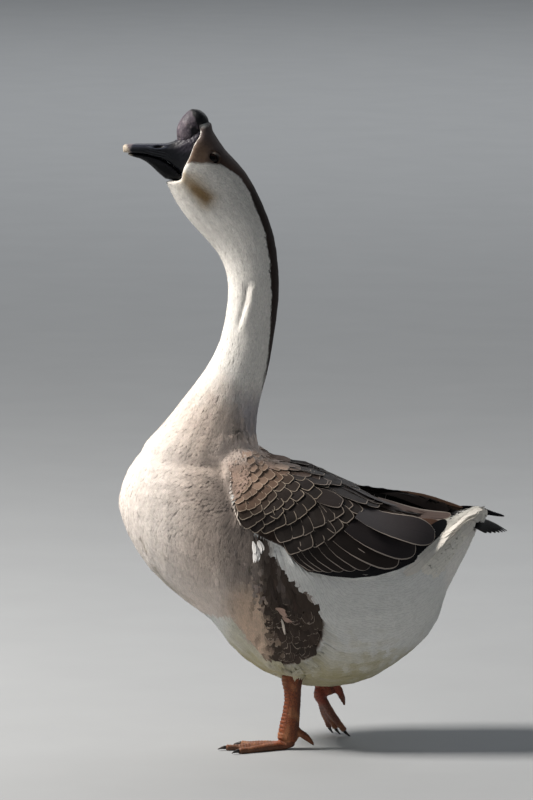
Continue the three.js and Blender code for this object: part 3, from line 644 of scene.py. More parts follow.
def unwrap(p):
    """Where places fall when the skin is cut along the back and rolled out flat."""
    path, side = np.array(SPINE, float), p[:, 1:]
    best = np.full(len(p), 1e9)
    along = np.zeros(len(p))
    for a, b, start in zip(path, path[1:], run_of(path)):
        t = np.clip((side - a) @ (b - a) / ((b - a) @ (b - a)), 0, 1)
        far = np.hypot(*(side - a - t[:, None] * (b - a)).T)
        along = np.where(far < best, start + t * np.hypot(*(b - a)), along)
        best = np.minimum(best, far)
    return np.stack([np.arctan2(p[:, 0], beside(p, SPINE)) / math.pi, along], 1)


def scattered(zone, gap, seed):
    """Even random places on the skin, a gap apart, as far as a zone allows. A zone takes x, y
    and z of places, and the places."""
    draw = np.random.default_rng(seed)
    a, b, c = skin[skin_tris].transpose(1, 0, 2)
    middle = (a + b + c) / 3
    area = np.linalg.norm(np.cross(b - a, c - a), axis=1) / 2 * (zone(*middle.T, middle) > 0)
    count = int(area.sum() / gap ** 2 * TRIES)
    pick = draw.choice(len(area), count, p=area / area.sum())
    u, v = draw.random((2, count, 1))
    u, v = np.where(u + v > 1, 1 - u, u), np.where(u + v > 1, 1 - v, v)
    places = a[pick] + u * (b - a)[pick] + v * (c - a)[pick]
    places = places[zone(*places.T, places) > draw.random(count)]
    kept, cells = [], {}
    for i, (x, y, z) in enumerate(places.tolist()):
        cell = x // gap, y // gap, z // gap
        for near in NEIGHBOURS:
            at = cells.get((cell[0] + near[0], cell[1] + near[1], cell[2] + near[2]))
            if at and (at[0] - x) ** 2 + (at[1] - y) ** 2 + (at[2] - z) ** 2 < gap * gap:
                break
        else:
            cells[cell] = (x, y, z)
            kept.append(i)
    return places[kept]


def along_skin(way, normal):
    """A direction turned to lie flat on the skin."""
    return unit(way - (way * normal).sum(1, keepdims=True) * normal)


def laid(p, way, length, stops, turn=0):
    """Middle lines that run from places over the skin, with the normals along them."""
    place, normal = settle(p)
    way = along_skin(way, normal)
    turn = np.broadcast_to(turn, len(p))[:, None]
    places, normals = [place], [normal]
    for run in np.diff(stops):
        reach = (length * run)[:, None]
        aim = place + reach * way
        found, up = settle(aim)
        off = np.linalg.norm(found - aim, axis=1, keepdims=True) > 0.5 * reach
        place, normal = np.where(off, aim, found), np.where(off, normal, up)
        way = along_skin(way + np.cross(normal, way) * (turn * run), normal)
        places.append(place)
        normals.append(normal)
    return np.stack(places, 1), np.stack(normals, 1)


RIMMED = np.array([-1, -0.82, -0.5, 0, 0.5, 0.82, 1])     # points across a broad feather


class Vanes:
    """Feathers gathered into one piece.

    Each has a middle line with normals, at stops from 0 at its root to 1 at its tip, a width, a
    colour, and its height over the line at both ends. root and tip are its width there as a
    share, close is where it starts to narrow and square how bluntly. drop lets the tip sink
    back, cup bends both edges down, roll tilts it and fray tears its end. rims and rim are the
    colour and width of a pale edge. crest is a line that it stays under, and shade darkens its
    root.
    """

    def __init__(self):
        self.parts = []
        self.count = 0

    def add(self, lines, normals, stops, width, tints, low, high, columns=3, root=0.3, tip=0.1,
            close=0.5, square=2.0, drop=0.0, cup=0.1, roll=0.0, fray=0.0, rims=None, rim=0.0,
            rim_from=(0.5, 0.92), rim_share=(0.75, 1.1), rim_stop=0.0, shade=0.85, crest=None,
            seed=0):
        """One vane for each middle line: rows of points across it at each stop."""
        draw = np.random.default_rng(seed)
        n, rows = lines.shape[:2]
        across = np.linspace(-1, 1, columns) if columns < 7 else RIMMED
        columns = len(across)
        t = np.asarray(stops, float)
        end = np.clip(t - close, 0, 1) / (1 - close)
        shape = (root + (1 - root) * fade(t, 0, 0.4)) * (
            tip + (1 - tip) * np.clip(1 - end ** square, 0, 1) ** (1 / square))
        wide = np.broadcast_to(np.asarray(width, float) / 2, n)[:, None] * shape
        ahead = unit(np.gradient(lines, axis=1))
        aside = unit(np.cross(normals, ahead))
        reach = np.linalg.norm(np.diff(lines, axis=1), axis=2).sum(1)
        arch = np.sin(np.clip(t / 0.75, 0, 1) * math.pi / 2) if drop else t
        arch = arch * (1 - drop * fade(t, 0.7, 1))
        low, high = np.broadcast_to(low, n)[:, None], np.broadcast_to(high, n)[:, None]
        off = wide[:, :, None] * across
        up = (low + (high - low) * arch)[:, :, None] - cup * np.abs(off * across) + roll * off
        ragged = -fray * reach[:, None, None] * draw.random((n, 1, columns))
        ragged = ragged * fade(t, 0.5, 1)[None, :, None]
        place = (lines[:, :, None] + off[..., None] * aside[:, :, None]
                 + up[..., None] * normals[:, :, None] + ragged[..., None] * ahead[:, :, None])
        if crest:
            top = height_of(crest, place[..., 1]) - 5
            over = np.maximum(place[..., 2] - top, 0)
            place[..., 2] -= over - 5 * (1 - np.exp(-over / 5))
        left = ((1 - t) * reach[:, None])[:, :, None] + 0 * off
        right = wide[:, :, None] * (1 - np.abs(across))
        edge = left * right / np.sqrt(left ** 2 + right ** 2 + 1e-9)
        vane = np.stack([off, t[:, None] * reach[:, None, None] + 0 * off,
                         draw.random(n)[:, None, None] + 0 * off], 3)
        dark = (shade + (1 - shade) * fade(t, 0.05, 0.7))[None, :, None, None]
        colour = tints[:, None, None] * dark + 0 * off[..., None]
        four = np.zeros((n, rows, columns, 4))
        four[..., :3] = (tints if rims is None else np.broadcast_to(rims, (n, 3)))[:, None, None]
        share = np.broadcast_to(rim, n) * draw.uniform(*rim_share, n)
        grown = 0.2 + 0.8 * fade(t, *rim_from) * (1 - rim_stop * fade(t, 0.86, 1))
        four[..., 3] = (share[:, None] * grown)[..., None]
        size = rows * columns
        grid = np.arange(size).reshape(rows, columns)
        quads = np.stack([grid[:-1, :-1], grid[1:, :-1], grid[1:, 1:], grid[:-1, 1:]], 2)
        first = self.count + np.arange(n) * size
        self.count += n * size
        faces = (quads.reshape(-1, 4) + first[:, None, None]).reshape(-1, 4)
        local = np.stack([across / 2 + 0 * t[:, None], t[:, None] - 0.5 + 0 * across], 2)
        self.parts.append((place.reshape(-1, 3), faces, colour.reshape(-1, 3), four.reshape(-1, 4),
                           vane.reshape(-1, 3), edge.reshape(-1), np.repeat(lines[:, 0], size, 0),
                           np.tile(local.reshape(-1, 2), (n, 1)),
                           np.repeat(normals[:, :, None], columns, 2).reshape(-1, 3)))

    def make(self, name, material, patch=0.003, nodes=(), soft=0.8):
        """The finished piece, with its attributes and its baking map. Light falls on it as on
        the body beneath, by the soft share, so that the coat looks smooth."""
        verts, faces, tints, rims, vane, edge, roots, local, beneath = (
            np.concatenate(part) for part in zip(*self.parts))
        made = make_piece(name, verts, faces, tints, material, nodes)
        mesh = made.data
        own = np.empty(len(verts) * 3)
        mesh.vertices.foreach_get("normal", own)
        own = own.reshape(-1, 3)
        mesh.normals_split_custom_set_from_vertices(unit(own + soft * (beneath - own)).tolist())
        put(mesh, "rim", "FLOAT_COLOR", "color", rims)
        put(mesh, "vane", "FLOAT_VECTOR", "vector", vane)
        put(mesh, "edge", "FLOAT", "value", edge)
        flat = unwrap(roots)
        low, high = flat.min(0), flat.max(0)
        flat = (flat - low) / (high - low)
        flat = BAKE_MARGIN + (1 - 2 * BAKE_MARGIN) * flat + patch * local
        layer = mesh.uv_layers.new(name="OFBake")
        layer.data.foreach_set("uv", flat[faces.ravel()].astype(np.float32).ravel())


def vane_paint(barbs, depth, gloss):
    """The paint of a feather: fine slanting barbs, a shaft and a pale rim."""

    def paint(tone):
        place = tone.attribute("vane", "Vector")
        across, along, seed = (tone.node("SeparateXYZ", links={0: place}, out=i) for i in range(3))
        slant = (along - across.size() * 0.9) * barbs + seed * 7
        hair = slant.wave()
        mottle = tone.noise(tone.node("TexCoord", out="Object"), 260.0, 4.0, 0.65)
        rim = tone.attribute("rim")
        width = tone.attribute("rim", "Alpha")
        edge = tone.attribute("edge", "Fac") + (mottle - 0.5) * 0.5
        bare = (edge - width).step(-0.18, 0.18)
        lit = hair * 0.14 + mottle * 0.3 + 0.8
        colour = lit.times(bare.mix(rim, tone.attribute("tint")))
        shaft = across.size().step(0.15, 0.4)
        colour = (shaft * 0.16 + 0.84).times(colour)
        bump = (hair * 0.6 + mottle * 0.4 + shaft * -0.5).bump(0.6, depth)
        return {"Base Color": colour, "Roughness": mottle * 0.2 + gloss, "Normal": bump}

    return paint


contour_finish = finish("contour_feather", vane_paint(0.9, 0.00022, 0.62), 0.3)


MAX_RISE = 4.5                      # how far off the skin a small feather's line may end
EYE_CLEAR = 0.7                     # how far from the eye it has to end
OVERHANG = 1.5                      # how far past its inside outline it may end


def on_wing(p):
    """How far places lie inside the folded wing's outline."""
    return within(p, WING_AREA)


def contour(vanes, zone, gap, length, width, stops, seed, high=1.0, wander=0.14, jitter=0.06,
            low=0.25, bend=0.0, short=None, pick=0, inside=None, tuck=0.0, lip=0.0, **look):
    """One tract of small feathers, laid along the coat over a zone of the skin.

    high is their height as a share of the coat's depth. wander and bend turn them, jitter
    varies their colour, which is that of the place at the picked stop, and short shortens some.
    Those that leave the inside outline are dropped. tuck shortens those that would reach over
    the wing, and lip lifts their roots beside it.
    """
    roots = scattered(zone, gap, seed)
    draw = np.random.default_rng(seed + 100)
    n = len(roots)
    normal = settle(roots)[1]
    way = along_skin(lie(roots), normal)
    way = unit(way + np.cross(normal, way) * draw.normal(0, wander, (n, 1)))
    long = length * draw.uniform(0.82, 1.15, n)
    if short is not None:
        long = long * short(roots)
    long = long * (1 - tuck * fade(on_wing(roots + way * long[:, None]), 2, 12))
    lines, normals = laid(roots, way, long, stops, draw.normal(0, bend, n))
    end = lines[:, -1]
    rise = np.linalg.norm(settle(end)[0] - end, axis=1)
    keep = (rise < MAX_RISE) & (around_eye(end) > EYE_CLEAR)
    if inside is not None:
        keep &= within(end, inside) > -OVERHANG
    lines, normals, long, n = lines[keep], normals[keep], long[keep], keep.sum()
    low = low + lip * fade(on_wing(roots[keep]), -16, -3)
    middle = lines[:, pick or len(stops) // 2 + 1]
    tints = markings(middle) * draw.normal(1, jitter, (n, 1)) * draw.normal(1, jitter / 9, (n, 3))
    tall = coat_depth(middle) * high * draw.uniform(0.93, 1.04, n)
    vanes.add(lines, normals, stops, width * draw.uniform(0.85, 1.15, n) * long / length,
              np.clip(tints, 0, 1), low, tall, seed=seed, **look)


def in_fawn(p):
    return fade(within(p, FAWN_AREA), -3, 0)


def on_flank(p, low, high):
    return (fade(beside(p, FLANK_EDGE), low, high) * (on_wing(p) < 3)
            * (within(p, FAWN_AREA) > 2))


# The stops of fine, soft and rounded feathers, and the look of the ones that lie in locks.
FINE = (0, 0.4, 0.75, 1)
SOFT = (0, 0.3, 0.6, 0.85, 1)
ROUND = (0, 0.3, 0.55, 0.75, 0.88, 0.96, 1)
LOCK = {"drop": 0.3, "tip": 0.08, "close": 0.35, "cup": 0.06}

head_coat = Vanes()
contour(head_coat, lambda x, y, z, p: fade(z + 0.3 * y, 612, 628) * (around_eye(p) > 0.4)
        * (np.where(z > 660, beside(p, BILL_EDGE), 99) > 0.2), 1.15, 5.5, 1.7, FINE, 1, high=0.9,
        low=0.1, fray=0.1, wander=0.09, short=lambda p: 0.45 + 0.55 * fade(around_eye(p), 1, 9),
        **LOCK)
head_coat.make("head_feathers", contour_finish)

neck_coat = Vanes()
contour(neck_coat, lambda x, y, z, p: fade(z + 0.3 * y, 628, 612) * fade(z, 440, 470), 1.6, 13,
        2.5, SOFT, 2, high=0.9, fray=0.1, jitter=0.04, wander=0.09, **LOCK)
neck_coat.make("neck_feathers", contour_finish)

throat_coat = Vanes()
contour(throat_coat, lambda x, y, z, p: fade(z, 470, 440) * fade(z, 340, 370) * fade(y, 5, -10),
        2.0, 19, 3.3, SOFT, 3, high=0.9, fray=0.14, wander=0.08, **LOCK)
contour(throat_coat, lambda x, y, z, p: fade(np.hypot(y + 84, 0.8 * (z - 338)), 34, 24), 1.8, 11,
        3.4, SOFT, 33, high=1.12, low=1.0, fray=0.14, jitter=0.05, wander=0.1, **LOCK)
throat_coat.make("neck_base_feathers", contour_finish)

breast_coat = Vanes()
contour(breast_coat, lambda x, y, z, p: fade(z, 370, 340) * (on_wing(p) < 3) * in_fawn(p)
        * fade(beside(p, FLANK_EDGE), 6, -8), 2.2, 22, 3.8, SOFT, 4, high=0.9, fray=0.16,
        jitter=0.05, wander=0.07, tuck=0.5, lip=2.5, **LOCK)
breast_coat.make("breast_feathers", contour_finish)

belly_coat = Vanes()
contour(belly_coat, lambda x, y, z, p: (z < 350) * (on_wing(p) < 2) * (1 - in_fawn(p)) * (y < 231),
        2.7, 28, 5.5, SOFT, 5, high=0.9, fray=0.14, jitter=0.02, wander=0.1,
        short=lambda p: 0.22 + 0.78 * fade(p[:, 1], 228, 190), tuck=0.8, crest=CREST, **LOCK)
belly_coat.make("belly_feathers", contour_finish)

flank_coat = Vanes()
contour(flank_coat, lambda x, y, z, p: (z < 290) * on_flank(p, -16, -4) * fade(z, 192, 204), 3.8,
        30, 6.5, ROUND, 9, columns=5, tip=0.2, fray=0.08, jitter=0.2, wander=0.08, pick=1,
        inside=FAWN_AREA, shade=0.75)
contour(flank_coat, lambda x, y, z, p: on_flank(p, -6, 1) * fade(z, 212, 204), 5.4, 36, 13, ROUND,
        6, columns=7, tip=0.3, fray=0.06, jitter=0.13, wander=0.08, square=2.2, pick=1,
        inside=FAWN_AREA, short=lambda p: 0.6 + 0.4 * fade(p[:, 2], 105, 165),
        rims=rgb("a8988a"), rim=0.55, rim_share=(-0.2, 1), shade=0.6)
flank_coat.make("flank_feathers", contour_finish, 0.006, soft=0.6)

# ---- odd feathers
# A few loose feathers lie across the left flank, white ones and a pinkish one, and tiny dark
# ones are scattered over the shoulder and the side of the breast. All are rooted in the skin.


RAY_START = 300                     # mm to the side, where the ray for a place starts
RAY_DROP, RAY_DROPS = 2, 12         # it is lowered by steps where it misses the skin


def varied(code, spread, draw, count):
    """A colour for each of a count of feathers, some darker and some lighter."""
    return np.clip(rgb(code) * draw.normal(1, spread, (count, 1)), 0, 1)


def strays(vanes, spots, length, width, colour, lift, seed, **look):
    """Single feathers at spots of the side view: [y, z] of the root, and the way it points."""
    spots = np.array(spots, float)
    roots = cast(spots[:, :2], 1)[0]
    way = np.stack([0 * spots[:, 0], *spots[:, 2:].T], 1)
    lines, normals = laid(roots, way, np.full(len(roots), length), ROUND)
    tints = varied(colour, 0.06, np.random.default_rng(seed), len(roots))
    vanes.add(lines, normals, ROUND, width, tints, lift - 1, lift, columns=7, seed=seed, **look)


def cast(side_points, side):
    """Where places in the side view fall on the skin's left (1) or right (-1), and normals."""
    hits = []
    for y, z in side_points.tolist():
        for drop in range(RAY_DROPS):
            start = Vector((side * RAY_START, y, z - RAY_DROP * drop))
            hit = skin_tree.ray_cast(start, Vector((-side, 0, 0)))[0]
            if hit and hit.x * side > 8:
                break
        hits.append(hit or skin_tree.find_nearest((side * 45, y, z))[0])
    return settle(np.array(hits))


odd = Vanes()
strays(odd, [(-44, 258, .15, -1), (-41, 254, .1, -1), (-38, 259, .2, -1), (-36, 261, .2, -1),
             (-42, 249, 0, -1), (-39, 250, .1, -1)], 17, 5, "f4f1ee", 5.6, 61, tip=0.4, fray=0.2,
       roll=0.45)
strays(odd, [(-14, 176, .8, -.6), (-9, 168, .75, -.65), (-17, 178, .9, -.3)], 15, 6, "c2a292",
       4.6, 62, tip=0.6, fray=0.3, roll=0.2)
strays(odd, [(-10, 165, .25, -1)], 20, 3, "e4d8ca", 4.8, 63)
for low, high, count, colour, seed in (
    ((-150, 335, -.5, -1), (-78, 388, 0, -.8), 22, "5e5152", 64),
    ((-160, 190, -.3, -1), (-80, 330, .3, -.8), 24, "74665e", 66),
):
    spots = np.random.default_rng(seed).uniform(low, high, (count, 4))
    strays(odd, spots, 4, 1.1, colour, 2.8, seed + 1)
odd.make("odd_feathers", contour_finish, 0.006, soft=0)

# ---- wing coverts
# The closed wing's small feathers in neat rows, each row over the next one down: pale-edged
# brown ones at the shoulder, darker and longer ones behind, and broad scapulars on top.

# Rows of tips in the side view, from the shoulder down: length, width and spacing in the row,
# colour, colour and width of the pale edge, height over the skin, and the tips' line.
COVERTS = (
    (22, 11, 8.5, "b79d8d", "d3bfae", 0.75, 3.4, [(-66, 338), (-64, 346), (-56, 352), (-41, 355)]),
    (23, 12, 8.5, "b09684", "cfbaa8", 0.75, 3.4,
     [(-65, 328), (-60, 334), (-52, 340), (-41, 348), (-31, 356)]),
    (24, 12, 9, "a38a79", "c8b29e", 0.75, 3.3,
     [(-64, 318), (-55, 326), (-41, 338), (-29, 348), (-20, 356)]),
    (24, 12, 9, "957d6c", "bfa995", 0.75, 3.3,
     [(-61, 309), (-50, 316), (-40, 327), (-27, 340), (-14, 348)]),
    (25, 12.5, 9, "836d5e", "b6a18e", 0.75, 3.3,
     [(-59, 302), (-48, 308), (-36, 316), (-20, 328), (-7, 338), (4, 345)]),
    (26, 13, 9.5, "655144", "ae9a87", 0.75, 3.3,
     [(-56, 292), (-41, 297), (-28, 309), (-14, 320), (0, 331), (12, 342)]),
    (32, 17, 13, "43372f", "a89a8a", 0.8, 3.2,
     [(-51, 285), (-31, 294), (-19, 306), (-1, 322), (15, 333), (24, 338)]),
    (34, 18, 13, "2f2723", "a89a8a", 0.8, 3.2,
     [(-46, 276), (-29, 287), (-7, 298), (4, 309), (15, 324), (28, 333)]),
    (34, 18, 14, "292220", "a89a8a", 0.8, 3.1,
     [(-35, 272), (-16, 283), (-5, 294), (11, 305), (24, 315), (36, 324)]),
    (38, 19, 15, "27211e", "a89a8a", 0.8, 3.0,
     [(-23, 269), (-5, 277), (17, 288), (32, 302), (46, 316)]),
    (44, 20, 14, "27211e", "a3968a", 0.85, 2.9,
     [(-4, 258), (3, 260), (11, 262), (22, 266), (33, 273), (54, 281), (72, 292)]),
    (46, 20, 14, "292320", "a3968a", 0.85, 2.8,
     [(7, 244), (17, 247), (31, 253), (40, 257), (55, 264), (66, 276), (84, 288)]),
)
# Broad feathers over the wing's upper edge: tip, way, width, length and height over the skin.
SCAPULARS = (
    (106, 291, .95, -.3, 28, 58, 3.8), (91, 296, .85, -.52, 31, 56, 4.0),
    (61, 297, .85, -.5, 26, 48, 4.2), (77, 314, .85, -.5, 27, 52, 4.8),
    (44, 318, .85, -.5, 22, 44, 4.6), (110, 294, .97, -.25, 24, 52, 4.6),
    (100, 306, .93, -.36, 26, 54, 4.4),
    (60, 326, .9, -.42, 26, 48, 4.5), (82, 317, .92, -.38, 26, 50, 4.6),
    (24, 338, .85, -.5, 20, 38, 4.9), (40, 333, .9, -.44, 22, 42, 5.2),
)
# A thin whitish line of small feathers runs down the wing's front edge.
WING_FRONT = [(-71, 332), (-70, 318), (-67, 302), (-63, 290), (-57, 277)]
RIGHT_LIFT = 19
WING_BROAD = ((98, 205), (130, 208), (158, 215), (177, 226), (190, 240), (206, 256), (221, 273))
WING_TOP = ((98, 303), (130, 291), (158, 284), (177, 280), (190, 281), (206, 287), (221, 292))


def raised(points, side):
    """Side-view places moved up with the right wing, which is held a little open."""
    points = np.array(points, float)
    if side < 0:
        y, z = points.T
        held = np.clip((y - 85) / 130, 0, 1)
        rise = RIGHT_LIFT * np.clip(np.sin(math.pi * held), 0, 1) ** 0.6
        points[:, 1] += rise * fade(z, height_of(WING_BROAD, y), height_of(WING_TOP, y))
    return points


def spaced(path, gap):
    """Even places along a path of the side view, and the path's direction there."""
    path = np.array(path, float)
    run = run_of(path)
    at = np.linspace(0, run[-1], max(2, round(run[-1] / gap) + 1))
    points = np.stack([np.interp(at, run, path[:, i]) for i in (0, 1)], 1)
    return points, unit(np.gradient(points, axis=0))


def from_tips(tips, way, side, length, stops, lift=True):
    """Middle lines that end at tips of the side view, traced back over the skin."""
    place = cast(raised(tips, side if lift else 1), side)[0]
    back = 1 - np.array(stops)[::-1]
    lines, normals = laid(place, np.stack([0 * way[:, 0], *-way.T], 1), length, back)
    return lines[:, ::-1], normals[:, ::-1]


SIDES = ((1, "left", None), (-1, "right", CREST))     # and what the side's feathers stay under
BROAD = (0, 0.25, 0.5, 0.7, 0.84, 0.93, 0.98, 1)
wing_finish = finish("wing_feather", vane_paint(0.8, 0.0002, 0.56), 0.22)

for side, label, crest in SIDES:
    coverts = Vanes()
    for seed, (length, width, gap, tint, edge, rim, high, path) in enumerate(COVERTS):
        draw = np.random.default_rng(seed + 200)
        tips, run = spaced(path, gap)
        tips = tips + draw.normal(0, 0.7, tips.shape)
        way = unit(np.stack([run[:, 1], -run[:, 0]], 1) + draw.normal(0, 0.07, tips.shape))
        long = length * draw.uniform(0.95, 1.08, len(tips))
        lines, normals = from_tips(tips, way, side, long, BROAD)
        tints = varied(tint, 0.09, draw, len(tips))
        coverts.add(lines, normals, BROAD, width * draw.uniform(0.95, 1.1, len(tips)), tints, 0.3,
                    high + 0.25 * (np.arange(len(tips)) % 2), columns=7, tip=0.5, close=0.72,
                    square=2.2, cup=0.05, roll=side * 0.03, rims=rgb(edge), rim=rim, shade=0.6,
                    crest=crest, seed=seed + 300)
    rows = np.array(SCAPULARS)
    lines, normals = from_tips(rows[:, :2], unit(rows[:, 2:4]), side, rows[:, 5], BROAD)
    tints = varied("28211f", 0.08, np.random.default_rng(400), len(rows))
    coverts.add(lines, normals, BROAD, rows[:, 4], tints, rows[:, 6] - 2.6, rows[:, 6], columns=7,
                tip=0.4, close=0.62, cup=0.05, rims=rgb("a0948a"), rim=0.8, shade=0.7,
                crest=crest, seed=401)
    tips, run = spaced(WING_FRONT, 4)
    draw = np.random.default_rng(410)
    lines, normals = from_tips(tips, unit(run + draw.normal(0, 0.1, run.shape)), side,
                               draw.uniform(7, 12, len(tips)), BROAD)
    tints = rgb("cfc3b8") * draw.normal(0.97, 0.03, (len(tips), 1))
    coverts.add(lines, normals, BROAD, 1.7, tints, 2.0, 4.2, tip=0.2, fray=0.15, seed=411)
    coverts.make(f"wing_coverts_{label}", wing_finish, 0.02, soft=0.3)

# ---- flight feathers
# The long stiff feathers of the folded wing: secondaries and tertials fanned over each other,
# with their lower edges showing as pale lines, and the black primaries beneath them.

# Lower edge of each secondary and tertial from its start to its tip, how soon it levels off,
# and its width.
SECONDARIES = (
    (3, 240, 28, 220.5, .25, 15), (8, 243, 39, 219.5, .2, 17), (13, 246, 49, 218.5, .2, 18),
    (21, 249, 61, 218.5, .2, 20), (30.7, 254, 75, 219, .2, 21), (40, 257, 91, 219.5, .2, 23),
    (50, 258, 128, 222, .05, 28), (63, 265, 148, 232, .05, 34), (124, 266, 187, 254, .3, 26),
    (74, 275, 170, 243, .14, 42), (103, 295, 193, 281, .5, 15),
)
# The colours of those that differ from the dark ones in front.
LATER = {7: "2f2a2b", 8: "63493b", 9: "3f3a3b", 10: "74635c"}
BROWN = 8                           # the one that lies lower than the rest
# The middle lines of the primaries, and of the innermost long feather of the near wing.
PRIMARIES = (
    [(24, 229), (60, 225), (98, 224), (123, 229.5), (148, 241), (170, 256), (184, 265)],
    [(40, 234), (80, 230), (102, 230), (128, 238), (152, 251), (174, 265), (186, 272)],
)
INNER = [(66, 324), (88, 315), (108, 307), (127, 300)]
# Long inner feathers of the far wing: start, end, depth below the outline, width and colour. The
# deeper ones are near black: their own dark brown with painted shade.
FAR_TOP = (
    (84, 200, 5.0, 26, "251d19"), (96, 206, 2.2, 20, "2b211c"), (90, 208, 0.6, 14, "3b2c23"),
    (88, 209, -0.6, 5.5, "6f5342"),
)
LONG = (0, 0.15, 0.3, 0.45, 0.6, 0.72, 0.81, 0.88, 0.93, 0.965, 0.99, 1)


def curve(start, end, level, count):
    """A line of the side view that falls fast at first and then levels off."""
    start, end = np.array(start, float), np.array(end, float)
    knee = np.array([start[0] + 0.45 * (end[0] - start[0]), end[1] + level * (start[1] - end[1])])
    t = np.array(count)[:, None]
    return (1 - t) ** 2 * start + 2 * t * (1 - t) * knee + t * t * end


def evened(points, side):
    """A middle line over the skin and its normals, without the bumps of what lies beneath."""
    t = np.array(LONG)
    places, normals = (
        np.stack([np.polyval(np.polyfit(t, value, degree), t) for value in values.T], 1)
        for values, degree in zip(cast(points, side), (3, 1))
    )
    return places, unit(normals)


def along(path):
    """Places along a path of the side view at a long feather's stops."""
    points = spaced(path, 2)[0]
    return points[np.round(np.array(LONG) * (len(points) - 1)).astype(int)]


def add_quill(vanes, line, normals, width, colour, low, high, **look):
    """One long feather."""
    vanes.add(line[None], (normals + 0 * line)[None], LONG, width, colour[None], low, high,
              columns=7, **look)


quill_finish = finish("flight_feather", vane_paint(0.7, 0.00018, 0.52), 0.18)

for side, label, crest in SIDES:
    quills = Vanes()
    for i, (y0, z0, y1, z1, level, width) in enumerate(SECONDARIES):
        low_edge = curve((y0, z0), (y1, z1), level, LONG)
        ahead = unit(np.gradient(low_edge, axis=0))
        closing = np.clip(1 - (np.clip(np.array(LONG) - 0.7, 0, 1) / 0.3) ** 2.4, 0, 1)
        held = 0.35 + 0.4 * (i > 5)
        shape = held + (1 - held) * closing ** (1 / 2.4)
        lean = np.clip(cast(raised(low_edge, side), side)[1][:, 0] * side, 0.5, 1)
        aside = np.stack([-ahead[:, 1], ahead[:, 0]], 1)
        middle = low_edge + aside * (width / 2 * shape * lean)[:, None]
        # The far wing's tertials are painted darker, as painted shade, and have no pale rims.
        seen = side > 0 or i < BROWN
        tint = rgb(LATER.get(i, "2c2522")) * (1 if seen else 0.4)
        tint = tint * np.random.default_rng(i + 500).uniform(0.92, 1.08)
        sunk = 1.6 * (i == BROWN)
        add_quill(quills, *evened(raised(middle, side), side), width, tint, 0.6 + 0.2 * i - sunk,
                  1.6 + 0.32 * i - sunk, root=1.0, close=0.7, cup=0.02,
                  roll={BROWN: 0, 10: 0.5}.get(i, -0.12) * side, rims=rgb("ada196"),
                  rim=(0.9 + 0.6 * (i > 5)) * (seen and i != BROWN), rim_from=(0.1, 0.5),
                  rim_stop=0.6, shade=0.8, crest=crest, seed=i + 510)
    for i, path in enumerate(PRIMARIES):
        add_quill(quills, *evened(raised(along(path), side), side), 20, rgb("121115"), 1.2,
                  3.0 + 0.3 * i, root=0.8, tip=0.15, close=0.75, cup=0.02, shade=1.0, crest=crest,
                  seed=i + 520)
    look = {"root": 0.7, "tip": 0.15, "close": 0.6, "cup": 0.05, "shade": 0.9}
    if side > 0:
        add_quill(quills, *evened(along(INNER), side), 12, rgb("383234"), 4.0, 6.0, roll=-0.12,
                  rims=rgb("ada196"), seed=525, **look)
    for i, (start, stop, sink, width, tint) in enumerate(FAR_TOP if side < 0 else ()):
        y = start + (stop - start) * np.array(LONG)
        top = height_of(CREST, y) - 0.4 * width - sink
        line = np.stack([-27 + 0.3 * width + 0 * y, y, top], 1)
        add_quill(quills, line, unit(np.array([0.75, 0, 0.65])), width, rgb(tint), 0, 0,
                  seed=i + 530, **look)
    quills.make(f"flight_feathers_{label}", quill_finish, 0.03, soft=0.3)

# ---- back and tail
# Broad dark feathers over the back between the wings, a short arched fan of stiff tail feathers
# over the rump, and the black tips of each wing's longest primaries, stacked over the tail.

TAIL_COUNT = 14
TIP_COUNT = 5                       # black tips of each wing

back_coat = Vanes()
contour(back_coat, lambda x, y, z, p: (np.abs(x) < 40 - 0.2 * np.abs(y)) * (z > 258) * (y < 78)
        * (z < 356 - 0.15 * np.maximum(y, 0)) * fade(y, -52, -34), 9.5, 36, 19, BROAD, 7,
        high=1.3, low=0.6, columns=7, tip=0.4, close=0.62, jitter=0.1, wander=0.07, cup=0.05,
        rims=rgb("a0948a"), rim=0.7, shade=0.7, crest=CREST)
contour(back_coat, lambda x, y, z, p: (np.abs(x) < 34 - 0.1 * np.abs(y)) * (z > 262) * (y > 74)
        * (y < 165), 8, 40, 17, BROAD, 8, low=0.4, columns=7, tip=0.3, close=0.6, wander=0.05,
        cup=0.05, shade=0.7, crest=CREST)
back_coat.make("back_feathers", wing_finish, 0.02, soft=0.5)

tail_fan = Vanes()
# The tail feathers are painted near black: their brown-grey darkened as painted shade.
for i, s in enumerate(sorted(np.linspace(-1, 1, TAIL_COUNT), key=lambda s: -abs(s))):
    t = np.array(LONG)[:, None]
    start = np.array([4 * s, 206, 272 - 2 * s * s])
    end = np.array([30 * s, 262 - 26 * abs(s) ** 1.5, 256.5 + 3 * s * s])
    line = start + (end - start) * t + np.array([7 * s, 0, 6.5 - 2 * s * s]) * np.sin(math.pi * t)
    add_quill(tail_fan, line, unit(np.array([0.3 * s, 0.05, 1.0])), 14, rgb("161313"), 0.08 * i,
              0.08 * i, root=0.6, tip=0.15, close=0.55, cup=0.06, rims=rgb("3a3431"), rim=0.3,
              shade=1.0, seed=i + 600)
blade_finish = finish("black_quill", vane_paint(0.7, 0.00018, 0.6), 0.1)
tail_fan.make("tail_feathers", blade_finish, 0.03, ("tail",), 0)

